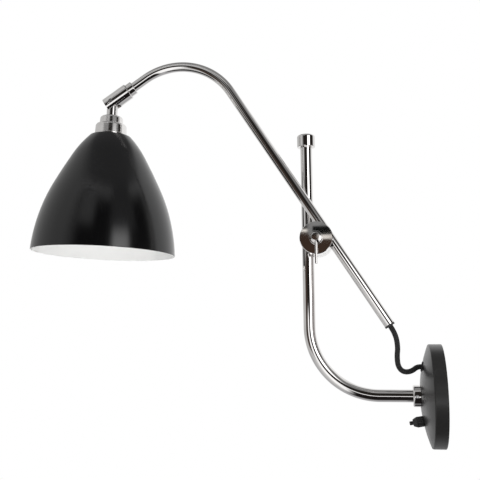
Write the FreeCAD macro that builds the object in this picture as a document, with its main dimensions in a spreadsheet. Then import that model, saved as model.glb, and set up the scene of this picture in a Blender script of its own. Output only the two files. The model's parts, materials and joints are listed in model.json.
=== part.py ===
"""Articulating wall lamp: a domed canopy carries a bent post, a double-rod clamp slides and turns
on the post and holds a bent arm, and a slotted knuckle on the arm's nose carries the shade.

Frame, in millimetres: the wall is the plane X = 0 and the lamp stands out along -X. +Z is up, and
the origin is the centre of the wall bracket's back face, on the axis of the post's level stretch.
"""
import FreeCAD, Part
import math
import os
import Sketcher

# ---------------------------------------------------------------------------------------------
# Driving dimensions: name, value, what it measures. Lengths in mm, angles in degrees.
# ---------------------------------------------------------------------------------------------
DIMENSIONS = [
    ("canopy_dia", 106, "canopy: outside diameter of the rim"),
    ("canopy_rim", 13, "canopy: depth of the straight rim, from the wall"),
    ("canopy_rise", 10, "canopy: rise of the dome over the rim"),
    ("canopy_wall", 1.6, "canopy: thickness of the metal"),
    ("canopy_round", 1.5, "canopy: radius of the edge between rim and dome"),
    ("canopy_pad_dia", 26, "canopy: flat seat pressed in the middle of the dome"),
    ("bracket_plate", 2.5, "wall bracket: thickness of the strip"),
    ("bracket_strip", 18, "wall bracket: width of both strips"),
    ("bracket_span", 80, "wall bracket: length of the level strip"),
    ("bracket_ear", 12, "wall bracket: width of an ear"),
    ("bracket_ear_depth", 10.5, "wall bracket: how far an ear stands out from the wall"),
    ("bracket_gap", 0.4, "wall bracket: gap from the strips' corners to the canopy's rim"),
    ("wall_hole_pitch", 60, "wall bracket: distance between the two wall screw holes"),
    ("wall_hole_dia", 5, "wall bracket: wall screw holes"),
    ("canopy_screw_dia", 4, "canopy set screws"),
    ("canopy_screw_length", 6, "canopy set screws, end to end"),
    ("canopy_screw_depth", 6.5, "canopy set screws: distance of their axis from the wall"),
    ("post_dia", 13, "post: outside diameter of the tube"),
    ("post_wall", 1.5, "post: wall of the tube"),
    ("post_reach", 136, "post: distance of the upright axis from the wall"),
    ("post_bend", 72, "post: centre-line radius of the bend"),
    ("post_top", 279, "post: height of the tube's upper end over the level stretch"),
    ("post_inner_end", 10, "post: distance of the tube's inner end from the wall"),
    ("collar_dia", 22.4, "tube collar: outside diameter"),
    ("collar_length", 8, "tube collar: length"),
    ("collar_round", 1.8, "tube collar: radius of both edges"),
    ("collar_screw_dia", 3, "tube collar: set screw"),
    ("washer_dia", 24, "lock washer: outside diameter"),
    ("washer_plate", 1.2, "lock washer: thickness"),
    ("locknut_flats", 20, "tube locknut: width across flats"),
    ("locknut_height", 5, "tube locknut: thickness"),
    ("cap_dia", 20, "post cap: outside diameter"),
    ("cap_side", 13, "post cap: height of its straight side"),
    ("cap_rise", 1.9, "post cap: rise of its domed top"),
    ("cap_socket", 8.3, "post cap: depth of the socket over the tube"),
    ("cap_round", 2.4, "post cap: radius of the top edge"),
    ("cord_dia", 5.4, "cord: outside diameter"),
    ("cord_hole_height", 30, "cord: height of the canopy's cord hole over the tube"),
    ("grommet_dia", 8.4, "cord grommet: diameter in the canopy's hole"),
    ("grommet_flange", 1.1, "cord grommet: radial width of its flanges"),
    ("grommet_lip", 0.8, "cord grommet: thickness of each flange"),
    ("cord_room", 0.35, "cord: radial room in the pieces that it runs through"),
    ("grip_dia", 14, "cord grip: outside diameter"),
    ("grip_length", 5, "cord grip: length"),
    ("switch_drop", 25.5, "switch: distance of its axis below the tube, at the dome"),
    ("switch_bush_dia", 8, "switch: threaded bush"),
    ("switch_bezel_dia", 10.8, "switch: outside diameter over the bezel's ribs"),
    ("switch_bezel_side", 6.6, "switch: length of the ribbed stretch"),
    ("switch_bezel_nose", 4, "switch: length of the bezel's conical nose"),
    ("switch_bezel_tip_dia", 7, "switch: diameter of the nose at its tip"),
    ("switch_rib_depth", 0.6, "switch: depth of the grooves between the ribs"),
    ("switch_ribs", 16, "switch: number of ribs"),
    ("switch_body_side", 13, "switch: side of the square body"),
    ("switch_body_depth", 9, "switch: depth of the square body behind the canopy"),
    ("button_dia", 4, "switch button: diameter of the plunger"),
    ("button_reach", 14.2, "switch button: tip over the dome"),
    ("button_root", 4, "switch button: length inside the canopy"),
    ("button_travel", 2, "switch button: travel"),
    ("block_width", 30, "terminal block: width"),
    ("block_height", 13, "terminal block: height"),
    ("block_depth", 9, "terminal block: depth"),
    ("block_bottom", 8, "terminal block: height of its lower face over the tube"),
    ("block_pitch", 9.5, "terminal block: distance between its poles"),
    ("block_well_dia", 4.4, "terminal block: screw wells"),
    ("block_well_depth", 5, "terminal block: depth of the screw wells"),
    ("terminal_screw_dia", 3.8, "terminal screws: head"),
    ("terminal_screw_length", 2.6, "terminal screws: height"),
    ("earth_offset", 17, "earth screw: distance from the bracket's middle"),
    ("earth_head_dia", 7, "earth screw: head"),
    ("earth_head_height", 2.6, "earth screw: height of the head"),
    ("earth_shank_dia", 4, "earth screw: shank"),
    ("clamp_height", 165.2, "clamp: height of the screw's axis over the tube"),
    ("clamp_dia", 35, "clamp: diameter of the discs and jaws"),
    ("clamp_post_offset", 10.6, "clamp: distance from the screw's axis to the post's axis"),
    ("clamp_arm_offset", 12.5, "clamp: distance from the screw's axis to the arm's axis"),
    ("clamp_plane_gap", 17, "clamp: distance between the post's plane and the arm's plane"),
    ("clamp_rear_wall", 2.9, "clamp: metal behind the post's groove"),
    ("clamp_front_wall", 3.85, "clamp: metal before the arm's groove"),
    ("clamp_inner_wall", 1.25, "clamp: metal between each groove and the friction washer"),
    ("clamp_split", 0.6, "clamp: gap between a disc and its jaw"),
    ("clamp_edge", 0.6, "clamp: chamfer of the discs' outer edges"),
    ("liner_wall", 0.55, "liners: thickness of the split sleeves"),
    ("liner_length", 30, "liners: length"),
    ("liner_slit", 1.6, "liners: width of the slit"),
    ("friction_dia", 33, "friction washer: diameter"),
    ("friction_plate", 1.2, "friction washer: thickness"),
    ("screw_dia", 5, "clamp screw: shank"),
    ("screw_grip", 6.5, "clamp screw: how far the shank runs past the post's plane"),
    ("hub_dia", 14.8, "clamp screw: flange of the hub"),
    ("hub_flange", 1.8, "clamp screw: thickness of the flange"),
    ("hub_shoulder_dia", 11.6, "clamp screw: diameter of the hub before the flange"),
    ("hub_tip_dia", 8.6, "clamp screw: diameter of the hub's front face"),
    ("hub_length", 9, "clamp screw: length of the hub"),
    ("lever_dia", 2.6, "lever pin: diameter"),
    ("lever_reach", 28.3, "lever pin: distance of its tip from the screw's axis"),
    ("lever_setback", 5.4, "lever pin: distance of its axis from the front disc"),
    ("arm_dia", 11, "arm: outside diameter of the tube"),
    ("arm_wall", 1, "arm: wall of the tube"),
    ("arm_lean", 32.4, "arm: lean of the long straight from upright"),
    ("arm_tail", 116.5, "arm: from the clamp down to the tube's lower end"),
    ("arm_rise", 193.1, "arm: from the clamp up to the bend"),
    ("arm_bend", 72, "arm: centre-line radius of the bend"),
    ("arm_turn", 90.8, "arm: angle of the bend"),
    ("arm_nose", 23.1, "arm: from the bend to the knuckle's face"),
    ("bush_lip", 2, "arm bush: length of the ring outside the tube"),
    ("bush_length", 8, "arm bush: length inside the tube"),
    ("knuckle_dia", 18.6, "knuckle: outside diameter"),
    ("knuckle_length", 31, "knuckle: length"),
    ("knuckle_inset", 7.9, "knuckle: distance of the pivot from the lower end"),
    ("knuckle_socket", 12, "knuckle: depth of the socket for the arm's nose"),
    ("knuckle_socket_dia", 14, "knuckle: diameter of the socket"),
    ("knuckle_edge", 0.7, "knuckle: chamfer of both ends"),
    ("wire_bore", 6.4, "bore for the wires in the knuckle and the stem"),
    ("ferrule_length", 3.8, "nose ferrule: length"),
    ("gland_dia", 15.4, "swivel gland: outside diameter of its ring"),
    ("gland_ring", 7.4, "swivel gland: length of the ring outside the knuckle"),
    ("gland_round", 0.9, "swivel gland: radius of the ring's edges"),
    ("pin_dia", 4, "pivot pin: diameter"),
    ("pin_recess", 0.35, "pivot pin: depth of its ends below the knuckle's side"),
    ("stem_dia", 12.4, "shade stem: diameter"),
    ("stem_drop", 17.2, "shade stem: from the pivot to the gallery"),
    ("shade_lean", 2.4, "shade: lean of its axis from upright, at rest"),
    ("ring_dia", 27, "gallery: diameter of the upper ring"),
    ("ring_height", 9.1, "gallery: height of the upper ring"),
    ("ring_round", 3.2, "gallery: radius of the rings' top edges"),
    ("cup_dia", 36.4, "gallery: diameter of the lower ring"),
    ("cup_height", 12.3, "gallery: height of the lower ring"),
    ("cup_web", 2.7, "gallery: thickness of the lower ring's top"),
    ("cup_lip_dia", 38.6, "gallery: diameter of the lip on the shade"),
    ("cup_lip", 2.4, "gallery: thickness of the lip"),
    ("stem_nut_flats", 18, "stem nut: width across flats"),
    ("stem_nut_height", 4, "stem nut: thickness"),
    ("holder_dia", 27, "lamp holder: outside diameter"),
    ("holder_length", 52, "lamp holder: length"),
    ("holder_gap", 0.5, "lamp holder: gap from its top to the stem nut"),
    ("holder_well", 27.5, "lamp holder: depth of the well that takes the lamp's cap"),
    ("shell_dia", 14.4, "holder shell: inside diameter"),
    ("shell_wall", 0.5, "holder shell: thickness"),
    ("shell_length", 24, "holder shell: length"),
    ("contact_dia", 8, "holder contact: diameter"),
    ("contact_height", 1.2, "holder contact: height"),
    ("shade_ring_dia", 40, "shade ring: outside diameter"),
    ("shade_ring_height", 4, "shade ring: height"),
    ("shade_dia", 160, "shade: outside diameter of the mouth"),
    ("shade_height", 135, "shade: height"),
    ("shade_wall", 1, "shade: thickness of the metal"),
    ("shade_top_dia", 46.5, "shade: diameter of the flat top"),
    ("shade_top_round", 1.8, "shade: radius of the top edge"),
    ("shade_shoulder_angle", 44, "shade: slope of the side at the top, from upright"),
    ("shade_shoulder_dia", 82, "shade: diameter where the shoulder ends"),
    ("shade_shoulder_drop", 23.7, "shade: depth where the shoulder ends"),
    ("shade_waist_dia", 119.2, "shade: diameter where the flank starts to round"),
    ("shade_waist_drop", 58.7, "shade: depth where the flank starts to round"),
    ("bulb_dia", 45, "bulb: diameter of the globe"),
    ("bulb_length", 46, "bulb: from the cap to the globe's end"),
    ("bulb_neck_dia", 18, "bulb: diameter of the neck"),
    ("bulb_wall", 0.9, "bulb: thickness of the glass"),
    ("bulb_cap_dia", 13.8, "bulb cap: diameter over the thread"),
    ("bulb_tip_dia", 5, "bulb cap: diameter of the centre contact"),
    ("bulb_tip", 1.4, "bulb cap: height of the centre contact"),
    ("seat_clearance", 0.02, "radial clearance where a piece is pushed or screwed home"),
    ("slide_clearance", 0.05, "radial clearance where a piece turns or slides"),
    ("face_clearance", 0.1, "gap between faces that turn on each other"),
    ("hole_clearance", 0.25, "radial clearance of a screw in a plain hole"),
]

doc = FreeCAD.newDocument("ArticulatingWallLamp")
sheet = doc.addObject("Spreadsheet::Sheet", "Sizes")
for row, (alias, value, meaning) in enumerate(DIMENSIONS, start=1):
    sheet.set(f"A{row}", alias)
    sheet.set(f"B{row}", str(value))
    sheet.setAlias(f"B{row}", alias)
    sheet.set(f"C{row}", meaning)
doc.recompute()


# ---------------------------------------------------------------------------------------------
# Sizes: a value together with the spreadsheet expression that gives it
# ---------------------------------------------------------------------------------------------
class Size:
    """A number and the expression that the document uses for it."""

    def __init__(self, value, expression=None):
        self.value = float(value)
        self.expression = expression or repr(float(value))

    def combine(self, other, sign, value):
        return Size(value, f"({self.expression} {sign} {other.expression})")

    def __add__(self, other):
        other = size(other)
        return self.combine(other, "+", self.value + other.value)

    def __sub__(self, other):
        other = size(other)
        return self.combine(other, "-", self.value - other.value)

    def __mul__(self, other):
        other = size(other)
        return self.combine(other, "*", self.value * other.value)

    def __truediv__(self, other):
        other = size(other)
        return self.combine(other, "/", self.value / other.value)

    def __neg__(self):
        return Size(-self.value, f"(-1 * {self.expression})")

    def __radd__(self, other):
        return size(other) + self

    def __rsub__(self, other):
        return size(other) - self

    def __rmul__(self, other):
        return size(other) * self


def size(number):
    """A plain number as a Size; a Size as it is."""
    return number if isinstance(number, Size) else Size(number)


def sine(angle):
    angle = size(angle)
    return Size(math.sin(math.radians(angle.value)), f"sin({angle.expression})")


def cosine(angle):
    angle = size(angle)
    return Size(math.cos(math.radians(angle.value)), f"cos({angle.expression})")


def arc_tangent(ratio):
    """The angle, in degrees, whose tangent is the ratio."""
    return Size(math.degrees(math.atan(ratio.value)), f"(atan({ratio.expression}) / 1 deg)")


def arc_sine(ratio):
    """The angle, in degrees, whose sine is the ratio."""
    return Size(math.degrees(math.asin(ratio.value)), f"(asin({ratio.expression}) / 1 deg)")


def root(square):
    return Size(math.sqrt(square.value), f"sqrt({square.expression})")


class Sheet:
    """The driving dimensions by name: D.post_dia is the post's diameter."""

    def __getattr__(self, alias):
        return Size(float(sheet.get(alias)), f"Sizes.{alias}")


D = Sheet()


# ---------------------------------------------------------------------------------------------
# Frames: every piece is modelled about its own Z axis, and its frame only turns about Y
# ---------------------------------------------------------------------------------------------
class Frame:
    """An origin in the lamp's frame and a turn about Y, all held as Sizes."""

    def __init__(self, x, y, z, turn):
        self.x, self.y, self.z, self.turn = size(x), size(y), size(z), size(turn)

    def moved(self, x=0, y=0, z=0, turn=0):
        """The frame shifted along its own axes, then turned further about Y."""
        across, along = size(x), size(z)
        return Frame(
            self.x + across * cosine(self.turn) + along * sine(self.turn),
            self.y + y,
            self.z - across * sine(self.turn) + along * cosine(self.turn),
            self.turn + turn,
        )

    def place(self, piece):
        """Put a piece at this frame, with its placement bound to the sizes."""
        upright = FreeCAD.Rotation(FreeCAD.Vector(0, 1, 0), self.turn.value)
        corner = FreeCAD.Vector(self.x.value, self.y.value, self.z.value)
        piece.Placement = FreeCAD.Placement(corner, upright)
        piece.setExpression("Placement.Base.x", self.x.expression)
        piece.setExpression("Placement.Base.y", self.y.expression)
        piece.setExpression("Placement.Base.z", self.z.expression)
        piece.setExpression("Placement.Rotation.Angle", self.turn.expression)


# ---------------------------------------------------------------------------------------------
# Bodies and sketches
# ---------------------------------------------------------------------------------------------
pieces = []


def body(name, frame):
    """A new PartDesign body, labelled with the piece's name and placed at its frame."""
    made = doc.addObject("PartDesign::Body", name)
    made.Label = name
    frame.place(made)
    pieces.append(made)
    return made


def sketch(owner, role, plane="XZ_Plane", offset=None):
    """A sketch on one of the body's own planes, moved along the plane's normal by offset."""
    made = owner.newObject("Sketcher::SketchObject", f"{owner.Name}_{role}")
    feature = next(f for f in owner.Origin.OriginFeatures if f.Role == plane)
    made.AttachmentSupport = [(feature, "")]
    made.MapMode = "FlatFace"
    if offset is not None:
        made.AttachmentOffset = FreeCAD.Placement(
            FreeCAD.Vector(0, 0, offset.value), FreeCAD.Rotation()
        )
        made.setExpression("AttachmentOffset.Base.z", offset.expression)
    return made


def bind(drawing, constraint, wanted):
    """Add a dimension to a sketch and tie it to its size."""
    index = drawing.addConstraint(constraint)
    drawing.setExpression(f"Constraints[{index}]", wanted.expression)


def pin_point(drawing, edge, end, x, y):
    """Hold one end of an edge at x, y from the sketch's origin."""
    for wanted, axis, kind in ((x, -2, "DistanceX"), (y, -1, "DistanceY")):
        if wanted.value == 0:
            drawing.addConstraint(Sketcher.Constraint("PointOnObject", edge, end, axis))
        else:
            constraint = Sketcher.Constraint(kind, -1, 1, edge, end, wanted.value)
            bind(drawing, constraint, wanted)


def arc_between(start, finish, radius):
    """The shorter arc from start to finish; a positive radius bulges to the right of the way."""
    chord = finish - start
    half = chord.Length / 2
    side = FreeCAD.Vector(-chord.y, chord.x, 0).normalize()
    reach = math.sqrt(max(radius * radius - half * half, 0.0))
    centre = (start + finish) / 2 + side * (reach if radius > 0 else -reach)
    first, last = start - centre, finish - centre
    angles = math.atan2(first.y, first.x), math.atan2(last.y, last.x)
    if radius < 0:
        angles = angles[1], angles[0]
    circle = Part.Circle(centre, FreeCAD.Vector(0, 0, 1), abs(radius))
    return Part.ArcOfCircle(circle, angles[0], angles[1])


def outline(drawing, corners):
    """A closed outline through corners of (x, y) or (x, y, radius).

    A corner with a radius is reached by an arc, which bulges to the right of the way when the
    radius is positive and to the left when it is negative. Every corner is held by its sizes.
    """
    points = [(size(c[0]), size(c[1])) for c in corners]
    places = [FreeCAD.Vector(x.value, y.value, 0) for x, y in points]
    ends = []
    for k in range(len(corners)):
        following = (k + 1) % len(corners)
        start, finish = places[k], places[following]
        bulge = corners[following][2] if len(corners[following]) > 2 else None
        if bulge is None:
            edge = drawing.addGeometry(Part.LineSegment(start, finish), False)
            ends.append((edge, 1, 2))
        else:
            edge = drawing.addGeometry(arc_between(start, finish, bulge.value), False)
            ends.append((edge, 1, 2) if bulge.value > 0 else (edge, 2, 1))
    for k, (edge, first, last) in enumerate(ends):
        following, start, _ = ends[(k + 1) % len(ends)]
        drawing.addConstraint(Sketcher.Constraint("Coincident", edge, last, following, start))
        pin_point(drawing, edge, first, *points[k])
        nxt = corners[(k + 1) % len(corners)]
        if len(nxt) > 2:
            radius = nxt[2] if nxt[2].value > 0 else -nxt[2]
            bind(drawing, Sketcher.Constraint("Radius", edge, radius.value), radius)


def circle(drawing, x, y, radius):
    """A circle held by its centre and its radius."""
    x, y = size(x), size(y)
    centre = FreeCAD.Vector(x.value, y.value, 0)
    shape = Part.Circle(centre, FreeCAD.Vector(0, 0, 1), radius.value)
    edge = drawing.addGeometry(shape, False)
    pin_point(drawing, edge, 3, x, y)
    bind(drawing, Sketcher.Constraint("Radius", edge, radius.value), radius)


def rectangle(drawing, left, right, low, high):
    outline(drawing, [(left, low), (right, low), (right, high), (left, high)])


def hexagon(drawing, flats):
    """A regular hexagon about the origin, by its width across flats."""
    half, corner = flats / 2, flats * (0.5 / math.cos(math.radians(30)))
    outline(drawing, [
        (half, -(corner / 2)), (half, corner / 2), (0, corner),
        (-half, corner / 2), (-half, -(corner / 2)), (0, -corner),
    ])


# ---------------------------------------------------------------------------------------------
# Features
# ---------------------------------------------------------------------------------------------
def add(owner, kind, role, profile):
    """A feature of the body on a profile sketch."""
    made = owner.newObject(f"PartDesign::{kind}", f"{owner.Name}_{role}")
    made.Profile = profile
    profile.Visibility = False
    return made


def pad(owner, role, profile, length, reverse=False):
    made = add(owner, "Pad", role, profile)
    made.setExpression("Length", size(length).expression)
    made.Reversed = reverse
    return made


def pocket(owner, role, profile, length=None, reverse=False, both=False):
    """A pocket of a length, or through the whole piece, to one side or to both sides."""
    made = add(owner, "Pocket", role, profile)
    if length is None:
        made.Type = "ThroughAll"
    else:
        made.setExpression("Length", size(length).expression)
    made.Midplane = both
    made.Reversed = reverse
    return made


def revolve(owner, role, profile, kind="Revolution"):
    """A full turn of the profile about the sketch's upright axis."""
    made = add(owner, kind, role, profile)
    made.ReferenceAxis = (profile, ["V_Axis"])
    made.Angle = 360
    return made


def edges_where(shape, test):
    """The names of the shape's edges that pass the test."""
    numbered = enumerate(shape.Edges, start=1)
    return [f"Edge{n}" for n, edge in numbered if not edge.Degenerated and test(edge)]


def soften(owner, role, kind, amount, test):
    """A fillet or chamfer on those edges of the finished body that pass the test."""
    doc.recompute()
    base = owner.Tip
    names = edges_where(base.Shape, test)
    if not names:
        raise RuntimeError(f"{owner.Label}: no edge for {role}")
    made = owner.newObject(f"PartDesign::{kind}", f"{owner.Name}_{role}")
    made.Base = (base, names)
    made.setExpression("Radius" if kind == "Fillet" else "Size", amount.expression)
    return made


def round_edge(radius, height):
    """A test for the full circle of a radius about Z at a height, in the body's own frame."""
    def test(edge):
        curve = edge.Curve
        if not isinstance(curve, Part.Circle) or abs(curve.Radius - radius.value) > 1e-3:
            return False
        off_axis = math.hypot(curve.Center.x, curve.Center.y)
        return off_axis < 1e-3 and abs(curve.Center.z - height.value) < 1e-3
    return test


def either(*tests):
    return lambda edge: any(test(edge) for test in tests)


def turned(name, frame, corners):
    """A piece turned on a lathe: an outline of (radius, height) corners spun about Z."""
    made = body(name, frame)
    profile = sketch(made, "profile")
    outline(profile, corners)
    revolve(made, "turning", profile)
    return made


def ring(name, frame, inner, outer, length):
    """A plain ring or sleeve standing on its frame's origin."""
    return turned(name, frame, [(inner, 0), (outer, 0), (outer, length), (inner, length)])


def hex_nut(name, frame, flats, bore, height):
    """A hexagon nut standing on its frame's origin, its corners chamfered by a turned cone."""
    made = body(name, frame)
    across = sketch(made, "flats", "XY_Plane")
    hexagon(across, flats)
    pad(made, "blank", across, height)
    hole = sketch(made, "bore", "XY_Plane")
    circle(hole, 0, 0, bore)
    pocket(made, "thread", hole, reverse=True)
    return made


def bent_tube(name, frame, diameter, wall, first, bend, turn, second, side):
    """A tube along Z, then an arc towards side * X, then straight again."""
    made = body(name, frame)
    path = sketch(made, "path")
    corner_x = side * bend * (1 - cosine(turn))
    corner_z = first + bend * sine(turn)
    end_x = corner_x + side * second * sine(turn)
    end_z = corner_z + second * cosine(turn)
    stops = [(size(0), size(0)), (size(0), first), (corner_x, corner_z), (end_x, end_z)]
    spots = [FreeCAD.Vector(x.value, z.value, 0) for x, z in stops]
    path.addGeometry(Part.LineSegment(spots[0], spots[1]), False)
    path.addGeometry(arc_between(spots[1], spots[2], -side * bend.value), False)
    path.addGeometry(Part.LineSegment(spots[2], spots[3]), False)
    near, far = (2, 1) if side > 0 else (1, 2)
    path.addConstraint(Sketcher.Constraint("Coincident", 0, 2, 1, near))
    path.addConstraint(Sketcher.Constraint("Coincident", 1, far, 2, 1))
    for edge, end, stop in ((0, 1, 0), (0, 2, 1), (2, 1, 2), (2, 2, 3)):
        pin_point(path, edge, end, *stops[stop])
    bind(path, Sketcher.Constraint("Radius", 1, bend.value), bend)
    path.Visibility = False
    section = sketch(made, "section", "XY_Plane")
    circle(section, 0, 0, diameter / 2)
    circle(section, 0, 0, diameter / 2 - wall)
    pipe = add(made, "AdditivePipe", "sweep", section)
    pipe.Spine = (path, ["Edge1", "Edge2", "Edge3"])
    return made


# ---------------------------------------------------------------------------------------------
# Canopy: shell, bracket, and what is fastened to them
# ---------------------------------------------------------------------------------------------
# In the wall frame, Z runs out from the wall and X runs up.
WALL = Frame(0, 0, 0, -90)
SOCKET_DEPTH = D.canopy_rim + D.canopy_rise
DOME_RADIUS = (D.canopy_dia * D.canopy_dia / 4 + D.canopy_rise * D.canopy_rise) / (2 * D.canopy_rise)
DOME_CENTRE = SOCKET_DEPTH - DOME_RADIUS
POST_RADIUS = D.post_dia / 2


def dome_height(reach, inset):
    """Distance from the wall to the dome, or to the shell's inside, at a distance off axis."""
    radius = DOME_RADIUS - inset
    return DOME_CENTRE + root(radius * radius - reach * reach)


PAD_FACE = dome_height(D.canopy_pad_dia / 2, size(0))
PAD_BACK = PAD_FACE - D.canopy_wall


def dome_frame(reach):
    """A frame on the dome's outside, at a height over the tube, with Z square to the dome."""
    tilt = arc_sine(reach / DOME_RADIUS)
    centre = WALL.moved(z=DOME_CENTRE, turn=tilt)
    return centre.moved(z=DOME_RADIUS)


CORD_PORT = dome_frame(D.cord_hole_height)
SWITCH_PORT = dome_frame(-D.switch_drop)


def drill(owner, role, frame_turn, reach, radius):
    """Drill the canopy square to its dome at a height over the tube.

    The hole is a cylinder turned about the dome's centre, so it stays square to the dome.
    """
    hole = owner.newObject("PartDesign::SubtractiveCylinder", f"{owner.Name}_{role}")
    length = D.canopy_rim + D.canopy_wall
    tilt = arc_sine(reach / DOME_RADIUS)
    start = DOME_RADIUS - D.canopy_rim
    hole.Placement = FreeCAD.Placement(
        FreeCAD.Vector(), FreeCAD.Rotation(FreeCAD.Vector(0, 1, 0), tilt.value)
    )
    hole.setExpression("Radius", radius.expression)
    hole.setExpression("Height", (length + D.canopy_rim).expression)
    hole.setExpression("Placement.Base.x", (start * sine(tilt)).expression)
    hole.setExpression("Placement.Base.z", (DOME_CENTRE + start * cosine(tilt)).expression)
    hole.setExpression("Placement.Rotation.Angle", tilt.expression)
    return hole


def make_canopy():
    """The pressed shell: straight rim, shallow spherical dome, flat seat in the middle."""
    outer, wall = D.canopy_dia / 2, D.canopy_wall
    inner = outer - wall
    bore = POST_RADIUS + D.seat_clearance
    seat = D.canopy_pad_dia / 2
    shell = turned("wall_canopy", WALL, [
        (outer, 0), (outer, D.canopy_rim), (seat, PAD_FACE, DOME_RADIUS), (bore, PAD_FACE),
        (bore, PAD_BACK), (seat, PAD_BACK), (inner, dome_height(inner, wall), wall - DOME_RADIUS),
        (inner, 0),
    ])
    drill(shell, "cord_hole", WALL, D.cord_hole_height, D.grommet_dia / 2)
    drill(shell, "switch_hole", WALL, -D.switch_drop, D.switch_bush_dia / 2 + D.seat_clearance)
    side = sketch(shell, "screw_holes", "YZ_Plane")
    circle(side, 0, D.canopy_screw_depth, D.canopy_screw_dia / 2 + D.hole_clearance)
    pocket(shell, "screw_bores", side, both=True)
    soften(shell, "edge", "Fillet", D.canopy_round, round_edge(outer, D.canopy_rim))


def make_bracket():
    """Two crossed strips on the wall; the upright one ends in ears for the canopy screws."""
    plate, half = D.bracket_plate, D.bracket_strip / 2
    corner = D.canopy_dia / 2 - D.canopy_wall - D.bracket_gap
    ear_face = root(corner * corner - half * half)
    made = body("wall_bracket", WALL)
    strips = sketch(made, "cross", "XY_Plane")
    span = D.bracket_span / 2
    outline(strips, [
        (half, -span), (half, -half), (ear_face, -half), (ear_face, half), (half, half),
        (half, span), (-half, span), (-half, half), (-ear_face, half), (-ear_face, -half),
        (-half, -half), (-half, -span),
    ])
    pad(made, "strips", strips, plate)
    for role, near, far in (("upper_ear", ear_face - plate, ear_face),
                            ("lower_ear", plate - ear_face, -ear_face)):
        ear = sketch(made, role, "XY_Plane")
        low, high = (near, far) if far.value > 0 else (far, near)
        rectangle(ear, low, high, -(D.bracket_ear / 2), D.bracket_ear / 2)
        pad(made, f"{role}_bend", ear, D.bracket_ear_depth)
    holes = sketch(made, "wall_holes", "XY_Plane")
    circle(holes, 0, D.wall_hole_pitch / 2, D.wall_hole_dia / 2)
    circle(holes, 0, -(D.wall_hole_pitch / 2), D.wall_hole_dia / 2)
    circle(holes, 0, -D.earth_offset, D.earth_shank_dia / 2 + D.seat_clearance)
    pocket(made, "drilling", holes, reverse=True)
    taps = sketch(made, "ear_holes", "YZ_Plane")
    circle(taps, 0, D.canopy_screw_depth, D.canopy_screw_dia / 2 + D.seat_clearance)
    pocket(made, "tapping", taps, both=True)


def make_canopy_screws():
    """Two set screws, flush with the rim, that hold the canopy on the bracket's ears."""
    flush = D.canopy_dia / 2 - D.canopy_wall / 4
    screws = []
    for name, turn in (("canopy_screw_upper", 90), ("canopy_screw_lower", -90)):
        frame = WALL.moved(z=D.canopy_screw_depth, turn=turn).moved(z=flush - D.canopy_screw_length)
        screw = ring_with_socket(name, frame, D.canopy_screw_dia / 2, D.canopy_screw_length)
        pieces.remove(screw)
        screws.append(screw)
    group("canopy_screws", screws)


def ring_with_socket(name, frame, radius, length):
    """A headless screw with a hexagon socket in its outer end."""
    made = turned(name, frame, [(0, 0), (radius, 0), (radius, length), (0, length)])
    key = sketch(made, "key", "XY_Plane", length)
    hexagon(key, radius)
    pocket(made, "socket", key, length / 3)
    return made


def group(name, members):
    """Several like solids in one node."""
    made = doc.addObject("Part::Compound", name)
    made.Label = name
    made.Links = members
    pieces.append(made)


def make_post():
    """The bent post, its cap, and the collar, washer and locknut that hold it to the canopy."""
    level = D.post_reach - D.post_inner_end - D.post_bend
    upright = D.post_top - D.post_bend
    bent_tube("post_tube", WALL.moved(z=D.post_inner_end), D.post_dia, D.post_wall, level,
              D.post_bend, size(90), upright, side=1)
    bore = POST_RADIUS + D.seat_clearance

    collar = ring("tube_collar", WALL.moved(z=PAD_FACE), bore, D.collar_dia / 2, D.collar_length)
    tap = sketch(collar, "screw_hole")
    circle(tap, 0, D.collar_length / 2, D.collar_screw_dia / 2)
    pocket(collar, "tapping", tap, reverse=True)
    outer = D.collar_dia / 2
    soften(collar, "edges", "Fillet", D.collar_round,
           either(round_edge(outer, size(0)), round_edge(outer, D.collar_length)))

    ring("lock_washer", WALL.moved(z=PAD_BACK - D.washer_plate), bore, D.washer_dia / 2,
         D.washer_plate)
    hex_nut("tube_locknut", WALL.moved(z=PAD_BACK - D.washer_plate - D.locknut_height),
            D.locknut_flats, bore, D.locknut_height)

    head, side = D.cap_dia / 2, D.cap_side
    crown = (head * head + D.cap_rise * D.cap_rise) / (2 * D.cap_rise)
    cap = turned("post_cap", Frame(-D.post_reach, 0, D.post_top - D.cap_socket, 0), [
        (bore, 0), (head, 0), (head, side), (0, side + D.cap_rise, crown), (0, D.cap_socket),
        (bore, D.cap_socket),
    ])
    soften(cap, "crown_edge", "Fillet", D.cap_round, round_edge(head, side))


def make_collar_screw():
    """The set screw in the side of the collar, facing the front of the lamp."""
    made = body("collar_screw", WALL.moved(z=PAD_FACE + D.collar_length / 2))
    depth = D.collar_dia / 2 - POST_RADIUS - D.seat_clearance
    start = POST_RADIUS + D.seat_clearance
    blank = sketch(made, "shank", "XZ_Plane", start)
    circle(blank, 0, 0, D.collar_screw_dia / 2 - D.seat_clearance)
    pad(made, "blank", blank, depth - D.canopy_wall / 4)
    key = sketch(made, "key", "XZ_Plane", start + depth - D.canopy_wall / 4)
    hexagon(key, D.collar_screw_dia / 2)
    pocket(made, "socket", key, depth / 3)


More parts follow.
